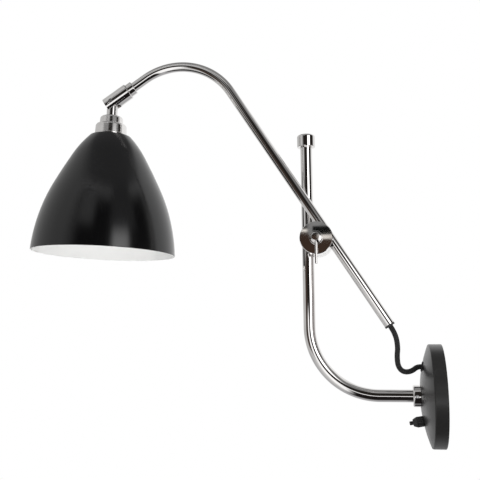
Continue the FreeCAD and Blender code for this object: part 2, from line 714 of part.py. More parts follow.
def make_cord_fittings():
    """The rubber grommet in the canopy's cord hole, and the grip nut behind it."""
    bore, neck = D.cord_dia / 2 + D.cord_room, D.grommet_dia / 2 - D.seat_clearance
    flange, lip, wall = D.grommet_dia / 2 + D.grommet_flange, D.grommet_lip, D.canopy_wall
    sag = flange * flange / (2 * DOME_RADIUS)
    turned("cord_grommet", CORD_PORT.moved(z=-(lip + wall + sag)), [
        (bore, 0), (flange, 0), (flange, lip), (neck, lip), (neck, lip + wall + sag),
        (flange, lip + wall + sag), (flange, lip + wall + sag + lip), (bore, lip + wall + sag + lip),
    ])
    ring("cord_grip", CORD_PORT.moved(z=-(lip + wall + sag + D.grip_length)), bore,
         D.grip_dia / 2, D.grip_length)


def make_switch():
    """The push switch: body behind the canopy, ribbed bezel in front, sprung button through."""
    wall, bush = D.canopy_wall, D.switch_bush_dia / 2
    bore = D.button_dia / 2 + D.slide_clearance
    bezel_radius = D.switch_bezel_dia / 2
    sag = D.switch_body_side * D.switch_body_side / (4 * DOME_RADIUS)
    back = wall + D.switch_body_depth + sag
    made = body("switch_body", SWITCH_PORT.moved(z=-back))
    square, half = sketch(made, "case", "XY_Plane"), D.switch_body_side / 2
    rectangle(square, -half, half, -half, half)
    pad(made, "moulding", square, D.switch_body_depth)
    neck = sketch(made, "bush", "XY_Plane")
    circle(neck, 0, 0, bush)
    pad(made, "threaded_bush", neck, back + D.switch_bezel_side)
    hole = sketch(made, "guide", "XY_Plane", back + D.switch_bezel_side)
    circle(hole, 0, 0, bore)
    pocket(made, "guide_bore", hole, D.switch_bezel_side + D.button_root + D.button_travel)

    side, nose, tip = D.switch_bezel_side, D.switch_bezel_nose, D.switch_bezel_tip_dia / 2
    bezel = turned("switch_bezel", SWITCH_PORT, [
        (bush + D.seat_clearance, 0), (bezel_radius, 0), (bezel_radius, side), (tip, side + nose),
        (bore, side + nose), (bore, side + D.seat_clearance),
        (bush + D.seat_clearance, side + D.seat_clearance),
    ])
    groove = sketch(bezel, "groove", "XY_Plane")
    circle(groove, bezel_radius + D.switch_rib_depth / 2, 0, D.switch_rib_depth)
    cut = pocket(bezel, "rib_groove", groove, side, reverse=True)
    ribs = bezel.newObject("PartDesign::PolarPattern", "switch_bezel_ribs")
    ribs.Originals = [cut]
    ribs.Axis = (groove, ["N_Axis"])
    ribs.setExpression("Occurrences", D.switch_ribs.expression)
    bezel.Tip = ribs

    plunger = D.button_dia / 2
    length = D.button_root + D.button_reach
    button = turned("switch_button", SWITCH_PORT.moved(z=-D.button_root), [
        (0, 0), (plunger, 0), (plunger, length), (0, length),
    ])
    soften(button, "tip", "Fillet", D.switch_rib_depth, round_edge(plunger, length))


def make_terminals():
    """The terminal block on the bracket, its screws, and the earth screw."""
    frame = WALL.moved(x=D.block_bottom, z=D.bracket_plate)
    made = body("terminal_block", frame)
    face, half = sketch(made, "case", "XY_Plane"), D.block_width / 2
    rectangle(face, size(0), D.block_height, -half, half)
    pad(made, "moulding", face, D.block_depth)
    wells = sketch(made, "wells", "XY_Plane", D.block_depth)
    entries = sketch(made, "entries", "YZ_Plane")
    middle, offsets = D.block_height / 2, (-D.block_pitch, size(0), D.block_pitch)
    for offset in offsets:
        circle(wells, middle, offset, D.block_well_dia / 2)
        circle(entries, offset, D.block_depth / 3, D.block_well_dia / 4)
    pocket(made, "screw_wells", wells, D.block_well_depth)
    pocket(made, "wire_entries", entries, reverse=True)
    screws = []
    for number, offset in enumerate(offsets, start=1):
        seat = frame.moved(x=middle, y=offset, z=D.block_depth - D.block_well_depth)
        radius, length = D.terminal_screw_dia / 2, D.terminal_screw_length
        screw = turned(f"terminal_screw_{number}", seat, [
            (0, 0), (radius, 0), (radius, length), (0, length),
        ])
        slot = sketch(screw, "slot", "XY_Plane", length)
        rectangle(slot, -radius * 2, radius * 2, -(radius / 5), radius / 5)
        pocket(screw, "driver_slot", slot, length / 3)
        pieces.remove(screw)
        screws.append(screw)
    group("terminal_screws", screws)

    head, shank = D.earth_head_dia / 2, D.earth_shank_dia / 2
    top = D.bracket_plate + D.earth_head_height
    screw = turned("earth_screw", WALL.moved(y=-D.earth_offset), [
        (0, D.face_clearance), (shank, D.face_clearance), (shank, D.bracket_plate),
        (head, D.bracket_plate), (head, top), (0, top),
    ])
    slot = sketch(screw, "slot", "XY_Plane", top)
    rectangle(slot, -head * 2, head * 2, -(head / 7), head / 7)
    pocket(screw, "driver_slot", slot, D.earth_head_height / 2)


# ---------------------------------------------------------------------------------------------
# Clamp: it holds the post and the arm between two pairs of grooved discs on one screw
# ---------------------------------------------------------------------------------------------
CLAMP = Frame(D.clamp_post_offset - D.post_reach, 0, D.clamp_height, 0)
ARM_CLAMP = CLAMP.moved(turn=-D.arm_lean)
POST_LINER_BORE = POST_RADIUS + D.slide_clearance
POST_GROOVE = POST_LINER_BORE + D.liner_wall + D.slide_clearance
ARM_LINER_BORE = D.arm_dia / 2 + D.slide_clearance
ARM_GROOVE = ARM_LINER_BORE + D.liner_wall + D.slide_clearance
# Distances of the faces from the post's plane, towards the front of the lamp
REAR_BACK = POST_GROOVE + D.clamp_rear_wall
REAR_JAW_FACE = POST_GROOVE + D.clamp_inner_wall
FRICTION_FACE = REAR_JAW_FACE + D.friction_plate
FRONT_JAW_BACK = D.clamp_plane_gap - ARM_GROOVE - D.clamp_inner_wall
FRONT_FACE = D.clamp_plane_gap + ARM_GROOVE + D.clamp_front_wall


def grooved_disc(name, frame, back, front, rod_offset, rod_depth, groove, screw_bore):
    """A round block from back to front, towards the front of the lamp, on the screw's axis.

    A half-round groove for the rod crosses it, parallel to the frame's Z.
    """
    made = body(name, frame)
    disc = sketch(made, "disc", "XZ_Plane", back)
    circle(disc, 0, 0, D.clamp_dia / 2)
    pad(made, "blank", disc, front - back)
    bore = sketch(made, "bore")
    circle(bore, 0, 0, screw_bore)
    pocket(made, "screw_bore", bore, both=True)
    rod = sketch(made, "rod", "XY_Plane")
    circle(rod, rod_offset, -rod_depth, groove)
    pocket(made, "rod_groove", rod, both=True)
    return made


def rim_edge(depth):
    """A test for the disc's rim at a distance towards the front of the lamp."""
    def test(edge):
        curve = edge.Curve
        if not isinstance(curve, Part.Circle) or abs(curve.Radius - D.clamp_dia.value / 2) > 1e-3:
            return False
        return abs(curve.Center.y + depth.value) < 1e-3
    return test


def make_clamp():
    split, gap = D.clamp_split / 2, D.clamp_plane_gap
    free_bore = D.screw_dia / 2 + D.slide_clearance
    rear = grooved_disc("clamp_rear_disc", CLAMP, -REAR_BACK, -split, -D.clamp_post_offset,
                        size(0), POST_GROOVE, free_bore)
    soften(rear, "rim", "Chamfer", D.clamp_edge, rim_edge(-REAR_BACK))
    grooved_disc("clamp_rear_jaw", CLAMP, split, REAR_JAW_FACE, -D.clamp_post_offset, size(0),
                 POST_GROOVE, free_bore)
    grooved_disc("clamp_front_jaw", ARM_CLAMP, FRONT_JAW_BACK, gap - split, D.clamp_arm_offset,
                 gap, ARM_GROOVE, free_bore)
    front = grooved_disc("clamp_front_disc", ARM_CLAMP, gap + split, FRONT_FACE,
                         D.clamp_arm_offset, gap, ARM_GROOVE, free_bore)
    soften(front, "rim", "Chamfer", D.clamp_edge, rim_edge(FRONT_FACE))

    washer = body("friction_washer", CLAMP)
    flat = sketch(washer, "flat", "XZ_Plane", REAR_JAW_FACE)
    circle(flat, 0, 0, D.friction_dia / 2)
    circle(flat, 0, 0, free_bore)
    pad(washer, "blank", flat, FRONT_JAW_BACK - D.face_clearance - REAR_JAW_FACE)

    half = D.liner_length / 2
    split_sleeve("post_liner", CLAMP.moved(x=-D.clamp_post_offset, z=-half), POST_LINER_BORE)
    split_sleeve("arm_liner", ARM_CLAMP.moved(x=D.clamp_arm_offset, y=-gap, z=-half),
                 ARM_LINER_BORE)


def split_sleeve(name, frame, bore):
    """A thin sleeve with a slit along its outer side, so that the clamp can close it."""
    made = ring(name, frame, bore, bore + D.liner_wall, D.liner_length)
    gap = sketch(made, "slit", "XZ_Plane")
    reach = bore + D.liner_wall * 2
    rectangle(gap, -(D.liner_slit / 2), D.liner_slit / 2, size(0), D.liner_length)
    pocket(made, "slitting", gap, reach, reverse=True)


def make_clamp_screw():
    """The screw through all the discs: flanged hub in front, lever pin through the hub."""
    # The screw's frame lies along the lamp's front direction, so it is drawn in its own plane
    # and spun about the sketch's level axis.
    made = body("clamp_screw", CLAMP)
    profile = sketch(made, "profile", "YZ_Plane")
    shank, flange = D.screw_dia / 2, D.hub_dia / 2
    shoulder, tip = D.hub_shoulder_dia / 2, D.hub_tip_dia / 2
    seat = -(FRONT_FACE + D.face_clearance)
    outline(profile, [
        (D.screw_grip, 0), (D.screw_grip, shank), (seat, shank), (seat, flange),
        (seat - D.hub_flange, flange), (seat - D.hub_flange, shoulder), (seat - D.hub_length, tip),
        (seat - D.hub_length, 0),
    ])
    turning = add(made, "Revolution", "turning", profile)
    turning.ReferenceAxis = (profile, ["H_Axis"])
    turning.Angle = 360
    lever_depth = FRONT_FACE + D.lever_setback
    hole = sketch(made, "lever_hole", "XY_Plane")
    circle(hole, 0, -lever_depth, D.lever_dia / 2)
    pocket(made, "lever_bore", hole, both=True)
    radius = D.lever_dia / 2 - D.seat_clearance
    lever = turned("lever_pin", CLAMP.moved(y=-lever_depth, z=-D.lever_reach), [
        (0, 0), (radius, 0), (radius, D.lever_reach + tip), (0, D.lever_reach + tip),
    ])
    soften(lever, "tips", "Fillet", D.seat_clearance + D.lever_dia / 6,
           either(round_edge(radius, size(0)), round_edge(radius, D.lever_reach + tip)))


# ---------------------------------------------------------------------------------------------
# Arm and knuckle
# ---------------------------------------------------------------------------------------------
ARM = ARM_CLAMP.moved(x=D.clamp_arm_offset, y=-D.clamp_plane_gap, z=-D.arm_tail)
ARM_STRAIGHT = D.arm_tail + D.arm_rise
# The arm's frame carried round the bend: Z points along the nose, towards the knuckle.
BEND_END = ARM.moved(x=-(D.arm_bend * (1 - cosine(D.arm_turn))),
                     z=ARM_STRAIGHT + D.arm_bend * sine(D.arm_turn), turn=-D.arm_turn)
# The knuckle's frame: origin at its lower end, Z back towards the arm, X to its underside
KNUCKLE = BEND_END.moved(z=D.arm_nose + D.knuckle_length, turn=180)
PIVOT = KNUCKLE.moved(z=D.knuckle_inset)
NOSE_DEPTH = D.knuckle_socket - D.face_clearance


def make_arm():
    """The bent arm, the bush in its lower end and the ferrule on its nose."""
    radius = D.arm_dia / 2
    bent_tube("arm_tube", ARM, D.arm_dia, D.arm_wall, ARM_STRAIGHT, D.arm_bend, D.arm_turn,
              D.arm_nose + NOSE_DEPTH, side=-1)
    bore = D.cord_dia / 2 + D.cord_room
    inside = radius - D.arm_wall - D.seat_clearance
    turned("arm_bush", ARM.moved(z=-D.bush_lip), [
        (bore, 0), (radius, 0), (radius, D.bush_lip), (inside, D.bush_lip),
        (inside, D.bush_lip + D.bush_length), (bore, D.bush_lip + D.bush_length),
    ])
    floor = KNUCKLE.moved(z=D.knuckle_length - NOSE_DEPTH)
    ring("nose_ferrule", floor, radius + D.seat_clearance,
         D.knuckle_socket_dia / 2 - D.slide_clearance, D.ferrule_length)


def make_knuckle():
    """The slotted swivel: the arm's nose turns in its socket, the stem tilts in its slot."""
    outer, length, inset = D.knuckle_dia / 2, D.knuckle_length, D.knuckle_inset
    slot = D.stem_dia / 2 + D.slide_clearance
    socket, wires = D.knuckle_socket_dia / 2, D.wire_bore / 2
    floor = length - D.knuckle_socket
    made = turned("knuckle_body", KNUCKLE, [
        (wires, 0), (outer, 0), (outer, length), (socket, length), (socket, floor), (wires, floor),
    ])
    end_bore = sketch(made, "end_bore")
    outline(end_bore, [(0, 0), (slot, 0), (slot, inset), (0, inset + slot, slot)])
    revolve(made, "end_boring", end_bore, "Groove")
    opening = sketch(made, "slot", "YZ_Plane")
    outline(opening, [(-slot, 0), (slot, 0), (slot, inset), (0, inset + slot, slot),
                      (-slot, inset, slot)])
    pocket(made, "slotting", opening, reverse=True)
    cross = sketch(made, "pin_hole")
    circle(cross, 0, inset, D.pin_dia / 2)
    pocket(made, "pin_bore", cross, both=True)
    soften(made, "upper_edge", "Chamfer", D.knuckle_edge, round_edge(outer, length))

    pin = body("pivot_pin", PIVOT)
    reach = outer - D.pin_recess
    blank = sketch(pin, "section", "XZ_Plane", -reach)
    circle(blank, 0, 0, D.pin_dia / 2 - D.seat_clearance)
    pad(pin, "blank", blank, reach * 2)

    thread = socket - D.seat_clearance
    bore = D.arm_dia / 2 + D.slide_clearance
    start = floor + D.ferrule_length + D.face_clearance * 2
    gland = D.gland_dia / 2
    nut = turned("swivel_gland", KNUCKLE.moved(z=start), [
        (bore, 0), (thread, 0), (thread, length - start), (gland, length - start),
        (gland, length - start + D.gland_ring), (bore, length - start + D.gland_ring),
    ])
    soften(nut, "ring_edge", "Fillet", D.gland_round,
           round_edge(gland, length - start + D.gland_ring))


# ---------------------------------------------------------------------------------------------
# Shade, gallery and lamp holder
# ---------------------------------------------------------------------------------------------
# Z runs down the shade's axis from the pivot.
SHADE_AXIS = Frame(PIVOT.x, PIVOT.y, PIVOT.z, 180 + D.shade_lean)
RING_TOP = D.stem_drop
CUP_TOP = RING_TOP + D.ring_height
LIP_TOP = CUP_TOP + D.cup_height
SHADE_TOP = LIP_TOP + D.cup_lip
CUP_FLOOR = CUP_TOP + D.cup_web
NUT_END = CUP_FLOOR + D.stem_nut_height
HOLDER_TOP = NUT_END + D.holder_gap
HOLDER_MOUTH = HOLDER_TOP + D.holder_length
WELL_FLOOR = HOLDER_MOUTH - D.holder_well


def make_stem_and_gallery():
    """The stem that tilts in the knuckle, the two rings of the gallery and the nut below."""
    radius, bore = D.stem_dia / 2, D.wire_bore / 2
    end = NUT_END + D.face_clearance
    stem = turned("shade_stem", SHADE_AXIS.moved(z=-radius), [
        (0, 0), (radius, radius, radius), (radius, end + radius), (bore, end + radius),
        (bore, radius * 2), (0, radius * 2),
    ])
    cross = sketch(stem, "pin_hole")
    circle(cross, 0, radius, D.pin_dia / 2 + D.slide_clearance)
    pocket(stem, "pin_bore", cross, both=True)

    fit = radius + D.seat_clearance
    upper = ring("gallery_ring", SHADE_AXIS.moved(z=RING_TOP), fit, D.ring_dia / 2,
                 D.ring_height)
    soften(upper, "crown", "Fillet", D.ring_round, round_edge(D.ring_dia / 2, size(0)))

    outer, lip, height = D.cup_dia / 2, D.cup_lip_dia / 2, D.cup_height
    inside = D.holder_dia / 2 + D.seat_clearance
    cup = turned("gallery_cup", SHADE_AXIS.moved(z=CUP_TOP), [
        (fit, 0), (outer, 0), (outer, height), (lip, height), (lip, height + D.cup_lip),
        (inside, height + D.cup_lip), (inside, D.cup_web), (fit, D.cup_web),
    ])
    soften(cup, "crown", "Fillet", D.ring_round, round_edge(outer, size(0)))
    hex_nut("stem_nut", SHADE_AXIS.moved(z=CUP_FLOOR), D.stem_nut_flats, fit, D.stem_nut_height)


def make_holder_and_bulb():
    """The lamp holder screwed up into the gallery, its contacts, and the bulb in it."""
    outer, well = D.holder_dia / 2, D.shell_dia / 2 + D.shell_wall + D.seat_clearance
    mouth, floor = D.holder_length, D.holder_length - D.holder_well
    wires = D.wire_bore / 2
    turned("lamp_holder", SHADE_AXIS.moved(z=HOLDER_TOP), [
        (wires, 0), (outer, 0), (outer, mouth), (well, mouth), (well, floor), (wires, floor),
    ])
    floor_frame = SHADE_AXIS.moved(z=WELL_FLOOR)
    ring("holder_shell", floor_frame, D.shell_dia / 2, D.shell_dia / 2 + D.shell_wall,
         D.shell_length)
    contact = D.contact_dia / 2
    turned("holder_contact", floor_frame, [
        (0, 0), (contact, 0), (contact, D.contact_height), (0, D.contact_height),
    ])

    cap, tip = D.bulb_cap_dia / 2, D.bulb_tip_dia / 2
    start = D.contact_height + D.seat_clearance
    length = D.holder_well - start
    turned("bulb_cap", floor_frame.moved(z=start), [
        (0, 0), (tip, 0), (cap, D.bulb_tip), (cap, length), (0, length),
    ])
    globe, neck, wall = D.bulb_dia / 2, D.bulb_neck_dia / 2, D.bulb_wall
    start, middle = D.seat_clearance, D.bulb_length - globe
    spread, rise = globe - neck, middle - start
    flare = (spread * spread + rise * rise) / (2 * spread)
    turned("bulb_glass", SHADE_AXIS.moved(z=HOLDER_MOUTH), [
        (neck - wall, start, -flare), (neck, start), (globe, middle, flare),
        (0, D.bulb_length, globe), (0, D.bulb_length - wall), (globe - wall, middle, wall - globe),
    ])


def make_shade():
    """The spun shade: three tangent arcs from a flat top to the mouth, and the ring inside.

    Each arc's radius follows from the slope where it starts and the chord to where it ends.
    """
    wall, hole = D.shade_wall, D.holder_dia / 2 + D.seat_clearance
    stations = [
        (D.shade_top_dia / 2, size(0)),
        (D.shade_shoulder_dia / 2, D.shade_shoulder_drop),
        (D.shade_waist_dia / 2, D.shade_waist_drop),
        (D.shade_dia / 2, D.shade_height),
    ]
    slopes, radii = [D.shade_shoulder_angle], []
    for (r0, z0), (r1, z1) in zip(stations, stations[1:]):
        across, down = r1 - r0, z1 - z0
        chord = root(across * across + down * down)
        chord_slope = arc_tangent(across / down)
        radii.append(chord / (2 * sine(slopes[-1] - chord_slope)))
        slopes.append(2 * chord_slope - slopes[-1])
    inside = [(r - wall * cosine(a), z + wall * sine(a)) for (r, z), a in zip(stations, slopes)]
    # The first inner point lies on the flat top's underside, along the first arc's offset.
    inner_radius = radii[0] - wall
    drop = wall
    centre_r = stations[0][0] - radii[0] * cosine(slopes[0])
    centre_z = radii[0] * sine(slopes[0])
    first = centre_r + root(inner_radius * inner_radius - (centre_z - drop) * (centre_z - drop))
    outer = [(r, z, radius) for (r, z), radius in zip(stations[1:], radii)]
    inner = [(r, z, wall - radius) for (r, z), radius in zip(inside[1:3], radii[1:])][::-1]
    shell = turned("shade", SHADE_AXIS.moved(z=SHADE_TOP), [
        (hole, 0), stations[0], *outer, inside[3], *inner, (first, drop, wall - radii[0]),
        (hole, drop),
    ])
    soften(shell, "top_edge", "Fillet", D.shade_top_round, round_edge(stations[0][0], size(0)))

    ring("shade_ring", SHADE_AXIS.moved(z=SHADE_TOP + wall), D.holder_dia / 2 + D.seat_clearance,
         D.shade_ring_dia / 2, D.shade_ring_height)


# ---------------------------------------------------------------------------------------------
# Cord: straight runs joined by tangent arcs, from the canopy's grip into the arm
# ---------------------------------------------------------------------------------------------
CORD_ROUTE = [
    (-5.6, -11.0, 26.6), (-9.0, 0.0, 27.7), (-23.7, 0.0, 30.8), (-30.8, -4.6, 25.3),
    (-39.2, -10.0, 24.6), (-44.8, -13.5, 30.0), (-45.8, -15.8, 40.9), (-44.5, -17.0, 50.4),
    (-46.5, -17.0, 64.2), (-57.2, -17.0, 81.1), (-68.0, -16.2, 98.0), (-78.7, -17.4, 114.9),
]


def make_cord():
    """The free cord's tube; each bend is as large as the two runs beside it allow."""
    points = [FreeCAD.Vector(*p) for p in CORD_ROUTE]
    radius = D.cord_dia.value / 2
    edges, here, length, radii = [], points[0], 0.0, []
    for before, point, after in zip(points, points[1:], points[2:]):
        back, ahead = before - point, after - point
        shorter = min(back.Length, ahead.Length)
        back.normalize()
        ahead.normalize()
        half_turn = (math.pi - back.getAngle(ahead)) / 2
        bend = 0.45 * shorter / math.tan(half_turn)
        reach = 0.45 * shorter
        start, finish = point + back * reach, point + ahead * reach
        middle_way = (back + ahead).normalize()
        middle = point + middle_way * (bend / math.cos(half_turn) - bend)
        edges.append(Part.LineSegment(here, start).toShape())
        edges.append(Part.Arc(start, middle, finish).toShape())
        length += (start - here).Length + bend * 2 * half_turn
        radii.append(bend)
        here = finish
    edges.append(Part.LineSegment(here, points[-1]).toShape())
    length += (points[-1] - here).Length
    path = Part.Wire(edges)
    section = Part.Wire(Part.makeCircle(radius, points[0], points[1] - points[0]))
    tube = path.makePipeShell([section], True, False)
    made = doc.addObject("Part::Feature", "flex_cord")
    made.Label = "flex_cord"
    made.Shape = tube
    pieces.append(made)
    print("cord bend radii", [round(r, 1) for r in radii])
    print("cord length", round(length, 2), "volume", round(tube.Volume, 1),
          "section times length", round(math.pi * radius * radius * length, 1))


# ---------------------------------------------------------------------------------------------
# Build, check and write
# ---------------------------------------------------------------------------------------------
def check():
    """Stop if any object failed to recompute, or any piece is not whole."""
    for item in doc.Objects:
        if "Invalid" in item.State or "Error" in item.State:
            raise RuntimeError(f"{item.Label} did not recompute: {item.State}")
    for piece in pieces:
        shape = piece.Shape
        if shape.isNull() or not shape.isValid() or not shape.Solids:
            raise RuntimeError(f"{piece.Label} has no valid solid")


def main():
    make_canopy()
    make_bracket()
    make_canopy_screws()
    make_post()
    make_collar_screw()
    make_cord_fittings()
    make_switch()
    make_terminals()
    make_clamp()
    make_clamp_screw()
    make_arm()
    make_knuckle()
    make_stem_and_gallery()
    make_holder_and_bulb()
    make_shade()
    make_cord()
    doc.recompute()
    check()
    os.makedirs("parts", exist_ok=True)
    for piece in pieces:
        piece.Shape.exportStep(f"parts/{piece.Label}.step")
    print(len(pieces), "pieces written")


main()
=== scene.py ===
"""Articulating wall lamp: the finished surfaces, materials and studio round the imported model.

Lengths are in metres. The wall is the plane X = 0, the lamp stands out along -X and +Z is up.
"""

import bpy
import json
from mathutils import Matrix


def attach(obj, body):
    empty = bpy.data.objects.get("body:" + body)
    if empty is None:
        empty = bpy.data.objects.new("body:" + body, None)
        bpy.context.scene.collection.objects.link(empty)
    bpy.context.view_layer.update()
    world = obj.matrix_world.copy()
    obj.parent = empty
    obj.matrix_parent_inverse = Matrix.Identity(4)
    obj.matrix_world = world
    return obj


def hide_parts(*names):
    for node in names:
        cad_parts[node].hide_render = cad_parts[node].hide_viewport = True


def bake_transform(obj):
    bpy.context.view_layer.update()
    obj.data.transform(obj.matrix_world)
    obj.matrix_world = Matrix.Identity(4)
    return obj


bl_info = {
    "name": "Articulating Wall Lamp",
    "version": (1, 0, 0),
    "blender": (4, 5, 0),
    "location": "3D View > Sidebar > Wall Lamp",
    "description": "Builds the surfaces, finishes and studio of an articulating wall lamp",
    "category": "Add Mesh",
}

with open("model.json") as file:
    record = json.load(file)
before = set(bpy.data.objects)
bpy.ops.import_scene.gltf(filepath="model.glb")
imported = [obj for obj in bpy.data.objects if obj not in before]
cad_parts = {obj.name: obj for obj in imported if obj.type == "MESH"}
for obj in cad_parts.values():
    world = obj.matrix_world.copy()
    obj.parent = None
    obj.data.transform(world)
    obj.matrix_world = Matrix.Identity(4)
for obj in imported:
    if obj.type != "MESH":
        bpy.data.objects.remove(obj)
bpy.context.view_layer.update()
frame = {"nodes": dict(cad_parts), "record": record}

import json
import math

import bpy
import numpy as np
from bpy.props import FloatProperty, FloatVectorProperty, IntProperty, PointerProperty
from mathutils import Matrix

RECORD = frame["record"]
BODY_OF = {node: body for body, nodes in RECORD["behaviour"]["bodies"].items() for node in nodes}
SLOT_OF = {part["node"]: part["material_slot"] for part in RECORD["subparts"]}


# ---------------------------------------------------------------------------------------------
# Sizes and colours
# ---------------------------------------------------------------------------------------------
def length(name, millimetres, description):
    """A length property whose default is given in millimetres."""
    return FloatProperty(name=name, description=description, default=millimetres / 1000,
                         precision=5, unit="LENGTH", subtype="DISTANCE")


def angle(name, degrees, description):
    """An angle property whose default is given in degrees."""
    return FloatProperty(name=name, description=description, default=math.radians(degrees),
                         unit="ROTATION", subtype="ANGLE")


def colour(name, default, description):
    """A linear colour property."""
    return FloatVectorProperty(name=name, description=description, default=default, size=3,
                               min=0.0, max=1.0, subtype="COLOR")


class CanopySizes(bpy.types.PropertyGroup):
    diameter: length("Diameter", 106, "Outside diameter of the canopy's rim")
    rim: length("Rim depth", 13, "Depth of the straight rim from the wall")
    rise: length("Dome rise", 10, "Rise of the dome over the rim")
    wall: length("Wall", 1.6, "Thickness of the metal")
    edge: length("Edge radius", 1.5, "Radius between rim and dome")
    seat: length("Seat diameter", 26, "Flat seat pressed in the middle of the dome")
    screw: length("Set screw", 4, "Diameter of the two set screws in the rim")
    screw_depth: length("Set screw depth", 6.5, "Distance of the set screws from the wall")
    screw_sink: length("Set screw sink", 1.2, "How far the set screws lie under the rim")
    collar: length("Collar diameter", 22.4, "Outside diameter of the tube collar")
    collar_length: length("Collar length", 8, "Length of the tube collar")
    collar_round: length("Collar edge", 1.8, "Radius of the collar's edges")
    collar_screw: length("Collar screw", 3, "Diameter of the collar's set screw")
    collar_sink: length("Collar screw sink", 0.9, "How far that screw lies under the collar")


class SwitchSizes(bpy.types.PropertyGroup):
    drop: length("Drop", 25.5, "Distance of the switch below the tube")
    bezel: length("Bezel diameter", 10.8, "Outside diameter over the bezel's ribs")
    side: length("Ribbed length", 6.6, "Length of the ribbed stretch")
    nose: length("Nose length", 4, "Length of the conical nose")
    tip: length("Nose diameter", 7, "Diameter of the nose at its tip")
    rib: length("Rib depth", 0.6, "Depth of the grooves between the ribs")
    ribs: IntProperty(name="Ribs", description="Number of ribs", default=16, min=3)
    thread: length("Thread", 8, "Diameter of the switch body's thread in the bezel")
    button: length("Button diameter", 4, "Diameter of the push button")
    reach: length("Button reach", 14.2, "Tip of the button over the dome")
    root: length("Button root", 3.8, "Length of the button inside the canopy")


class PostSizes(bpy.types.PropertyGroup):
    diameter: length("Diameter", 13, "Outside diameter of the post")
    wall: length("Wall", 1.5, "Wall of the tube")
    reach: length("Reach", 136, "Distance of the upright from the wall")
    bend: length("Bend radius", 72, "Centre-line radius of the bend")
    top: length("Height", 279, "Height of the upper end over the level stretch")
    inner_end: length("Inner end", 10, "Distance of the inner end from the wall")
    cap: length("Cap diameter", 20, "Outside diameter of the cap")
    cap_side: length("Cap side", 13, "Height of the cap's straight side")
    cap_rise: length("Cap rise", 1.9, "Rise of the cap's domed top")
    cap_socket: length("Cap socket", 8.3, "Depth of the socket over the tube")
    cap_round: length("Cap edge", 2.4, "Radius of the cap's top edge")


class ClampSizes(bpy.types.PropertyGroup):
    height: length("Height", 165.2, "Height of the screw's axis over the level stretch")
    post_offset: length("Post offset", 10.6, "From the screw's axis to the post's axis")
    arm_offset: length("Arm offset", 12.5, "From the screw's axis to the arm's axis")
    plane_gap: length("Plane gap", 17, "Distance between the post's and the arm's planes")
    face: length("Front face", 26.95, "Distance of the front disc's face from the post's plane")
    hub: length("Hub flange", 14.8, "Diameter of the hub's flange")
    flange: length("Flange thickness", 1.8, "Thickness of the hub's flange")
    shoulder: length("Hub shoulder", 11.6, "Diameter of the hub before the flange")
    tip: length("Hub tip", 8.6, "Diameter of the hub's front face")
    hub_length: length("Hub length", 9, "Length of the hub")
    lever: length("Lever diameter", 2.6, "Diameter of the lever pin")
    lever_reach: length("Lever reach", 28.3, "From the screw's axis to the pin's tip")
    lever_setback: length("Lever setback", 5.4, "From the front disc to the pin's axis")
    screw: length("Screw", 5, "Diameter of the screw behind its hub")
    screw_end: length("Screw end", 6.5, "From the post's plane back to the screw's end")
    trim: length("Liner trim", 34.2, "Diameter that the liners are trimmed to")


class ArmSizes(bpy.types.PropertyGroup):
    diameter: length("Diameter", 11, "Outside diameter of the arm")
    wall: length("Wall", 1, "Wall of the tube")
    lean: angle("Lean", 32.4, "Lean of the long straight from upright")
    tail: length("Tail", 116.5, "From the clamp to the lower end")
    rise: length("Rise", 193.1, "From the clamp to the bend")
    bend: length("Bend radius", 72, "Centre-line radius of the bend")
    turn: angle("Bend angle", 90.8, "Angle of the bend")
    nose: length("Nose", 23.1, "From the bend to the knuckle")
    inner_end: length("Inner end", 11.9, "Length of the tube inside the knuckle")
    bush: length("Bush lip", 2, "Length of the bush outside the tube")
    bush_depth: length("Bush depth", 8, "Length of the bush inside the tube")
    bush_play: length("Bush play", 0.7, "Gap between the cord and the bush's bore")
    mouth: length("Bush mouth", 9.2, "Diameter of the bush's flared mouth, round the cord")


class KnuckleSizes(bpy.types.PropertyGroup):
    diameter: length("Diameter", 18.6, "Outside diameter of the knuckle")
    length: length("Length", 31, "Length of the knuckle")
    inset: length("Pivot inset", 7.9, "Distance of the pivot from the lower end")
    gland: length("Gland diameter", 15.4, "Outside diameter of the gland's ring")
    gland_ring: length("Gland length", 7.4, "Length of the ring outside the knuckle")
    gland_round: length("Gland edge", 0.9, "Radius of the ring's edges")
    gland_thread: length("Gland thread", 14, "Diameter of the gland inside the knuckle")
    gland_depth: length("Gland depth", 7.9, "Length of the gland inside the knuckle")
    stem: length("Stem diameter", 12.4, "Diameter of the shade's stem")
    stem_bore: length("Stem bore", 6.4, "Diameter of the wires' way through the stem")
    stem_end: length("Stem end", 6.8, "Length of the stem below the upper ring")
    drop: length("Stem drop", 17.2, "From the pivot to the gallery")
    ring: length("Ring diameter", 27, "Diameter of the gallery's upper ring")
    ring_height: length("Ring height", 9.1, "Height of the upper ring")
    crown: length("Crown radius", 3.2, "Radius of the rings' top edges")
    cup: length("Cup diameter", 36.4, "Diameter of the gallery's lower ring")
    cup_height: length("Cup height", 12.3, "Height of the lower ring")
    cup_floor: length("Cup floor", 2.7, "Thickness of the cup's floor")
    lip: length("Lip diameter", 38.6, "Diameter of the lip on the shade")
    lip_height: length("Lip height", 2.4, "Thickness of the lip")
    taper: length("Ring taper", 0.7, "How much narrower the rings are at the top, on the radius")


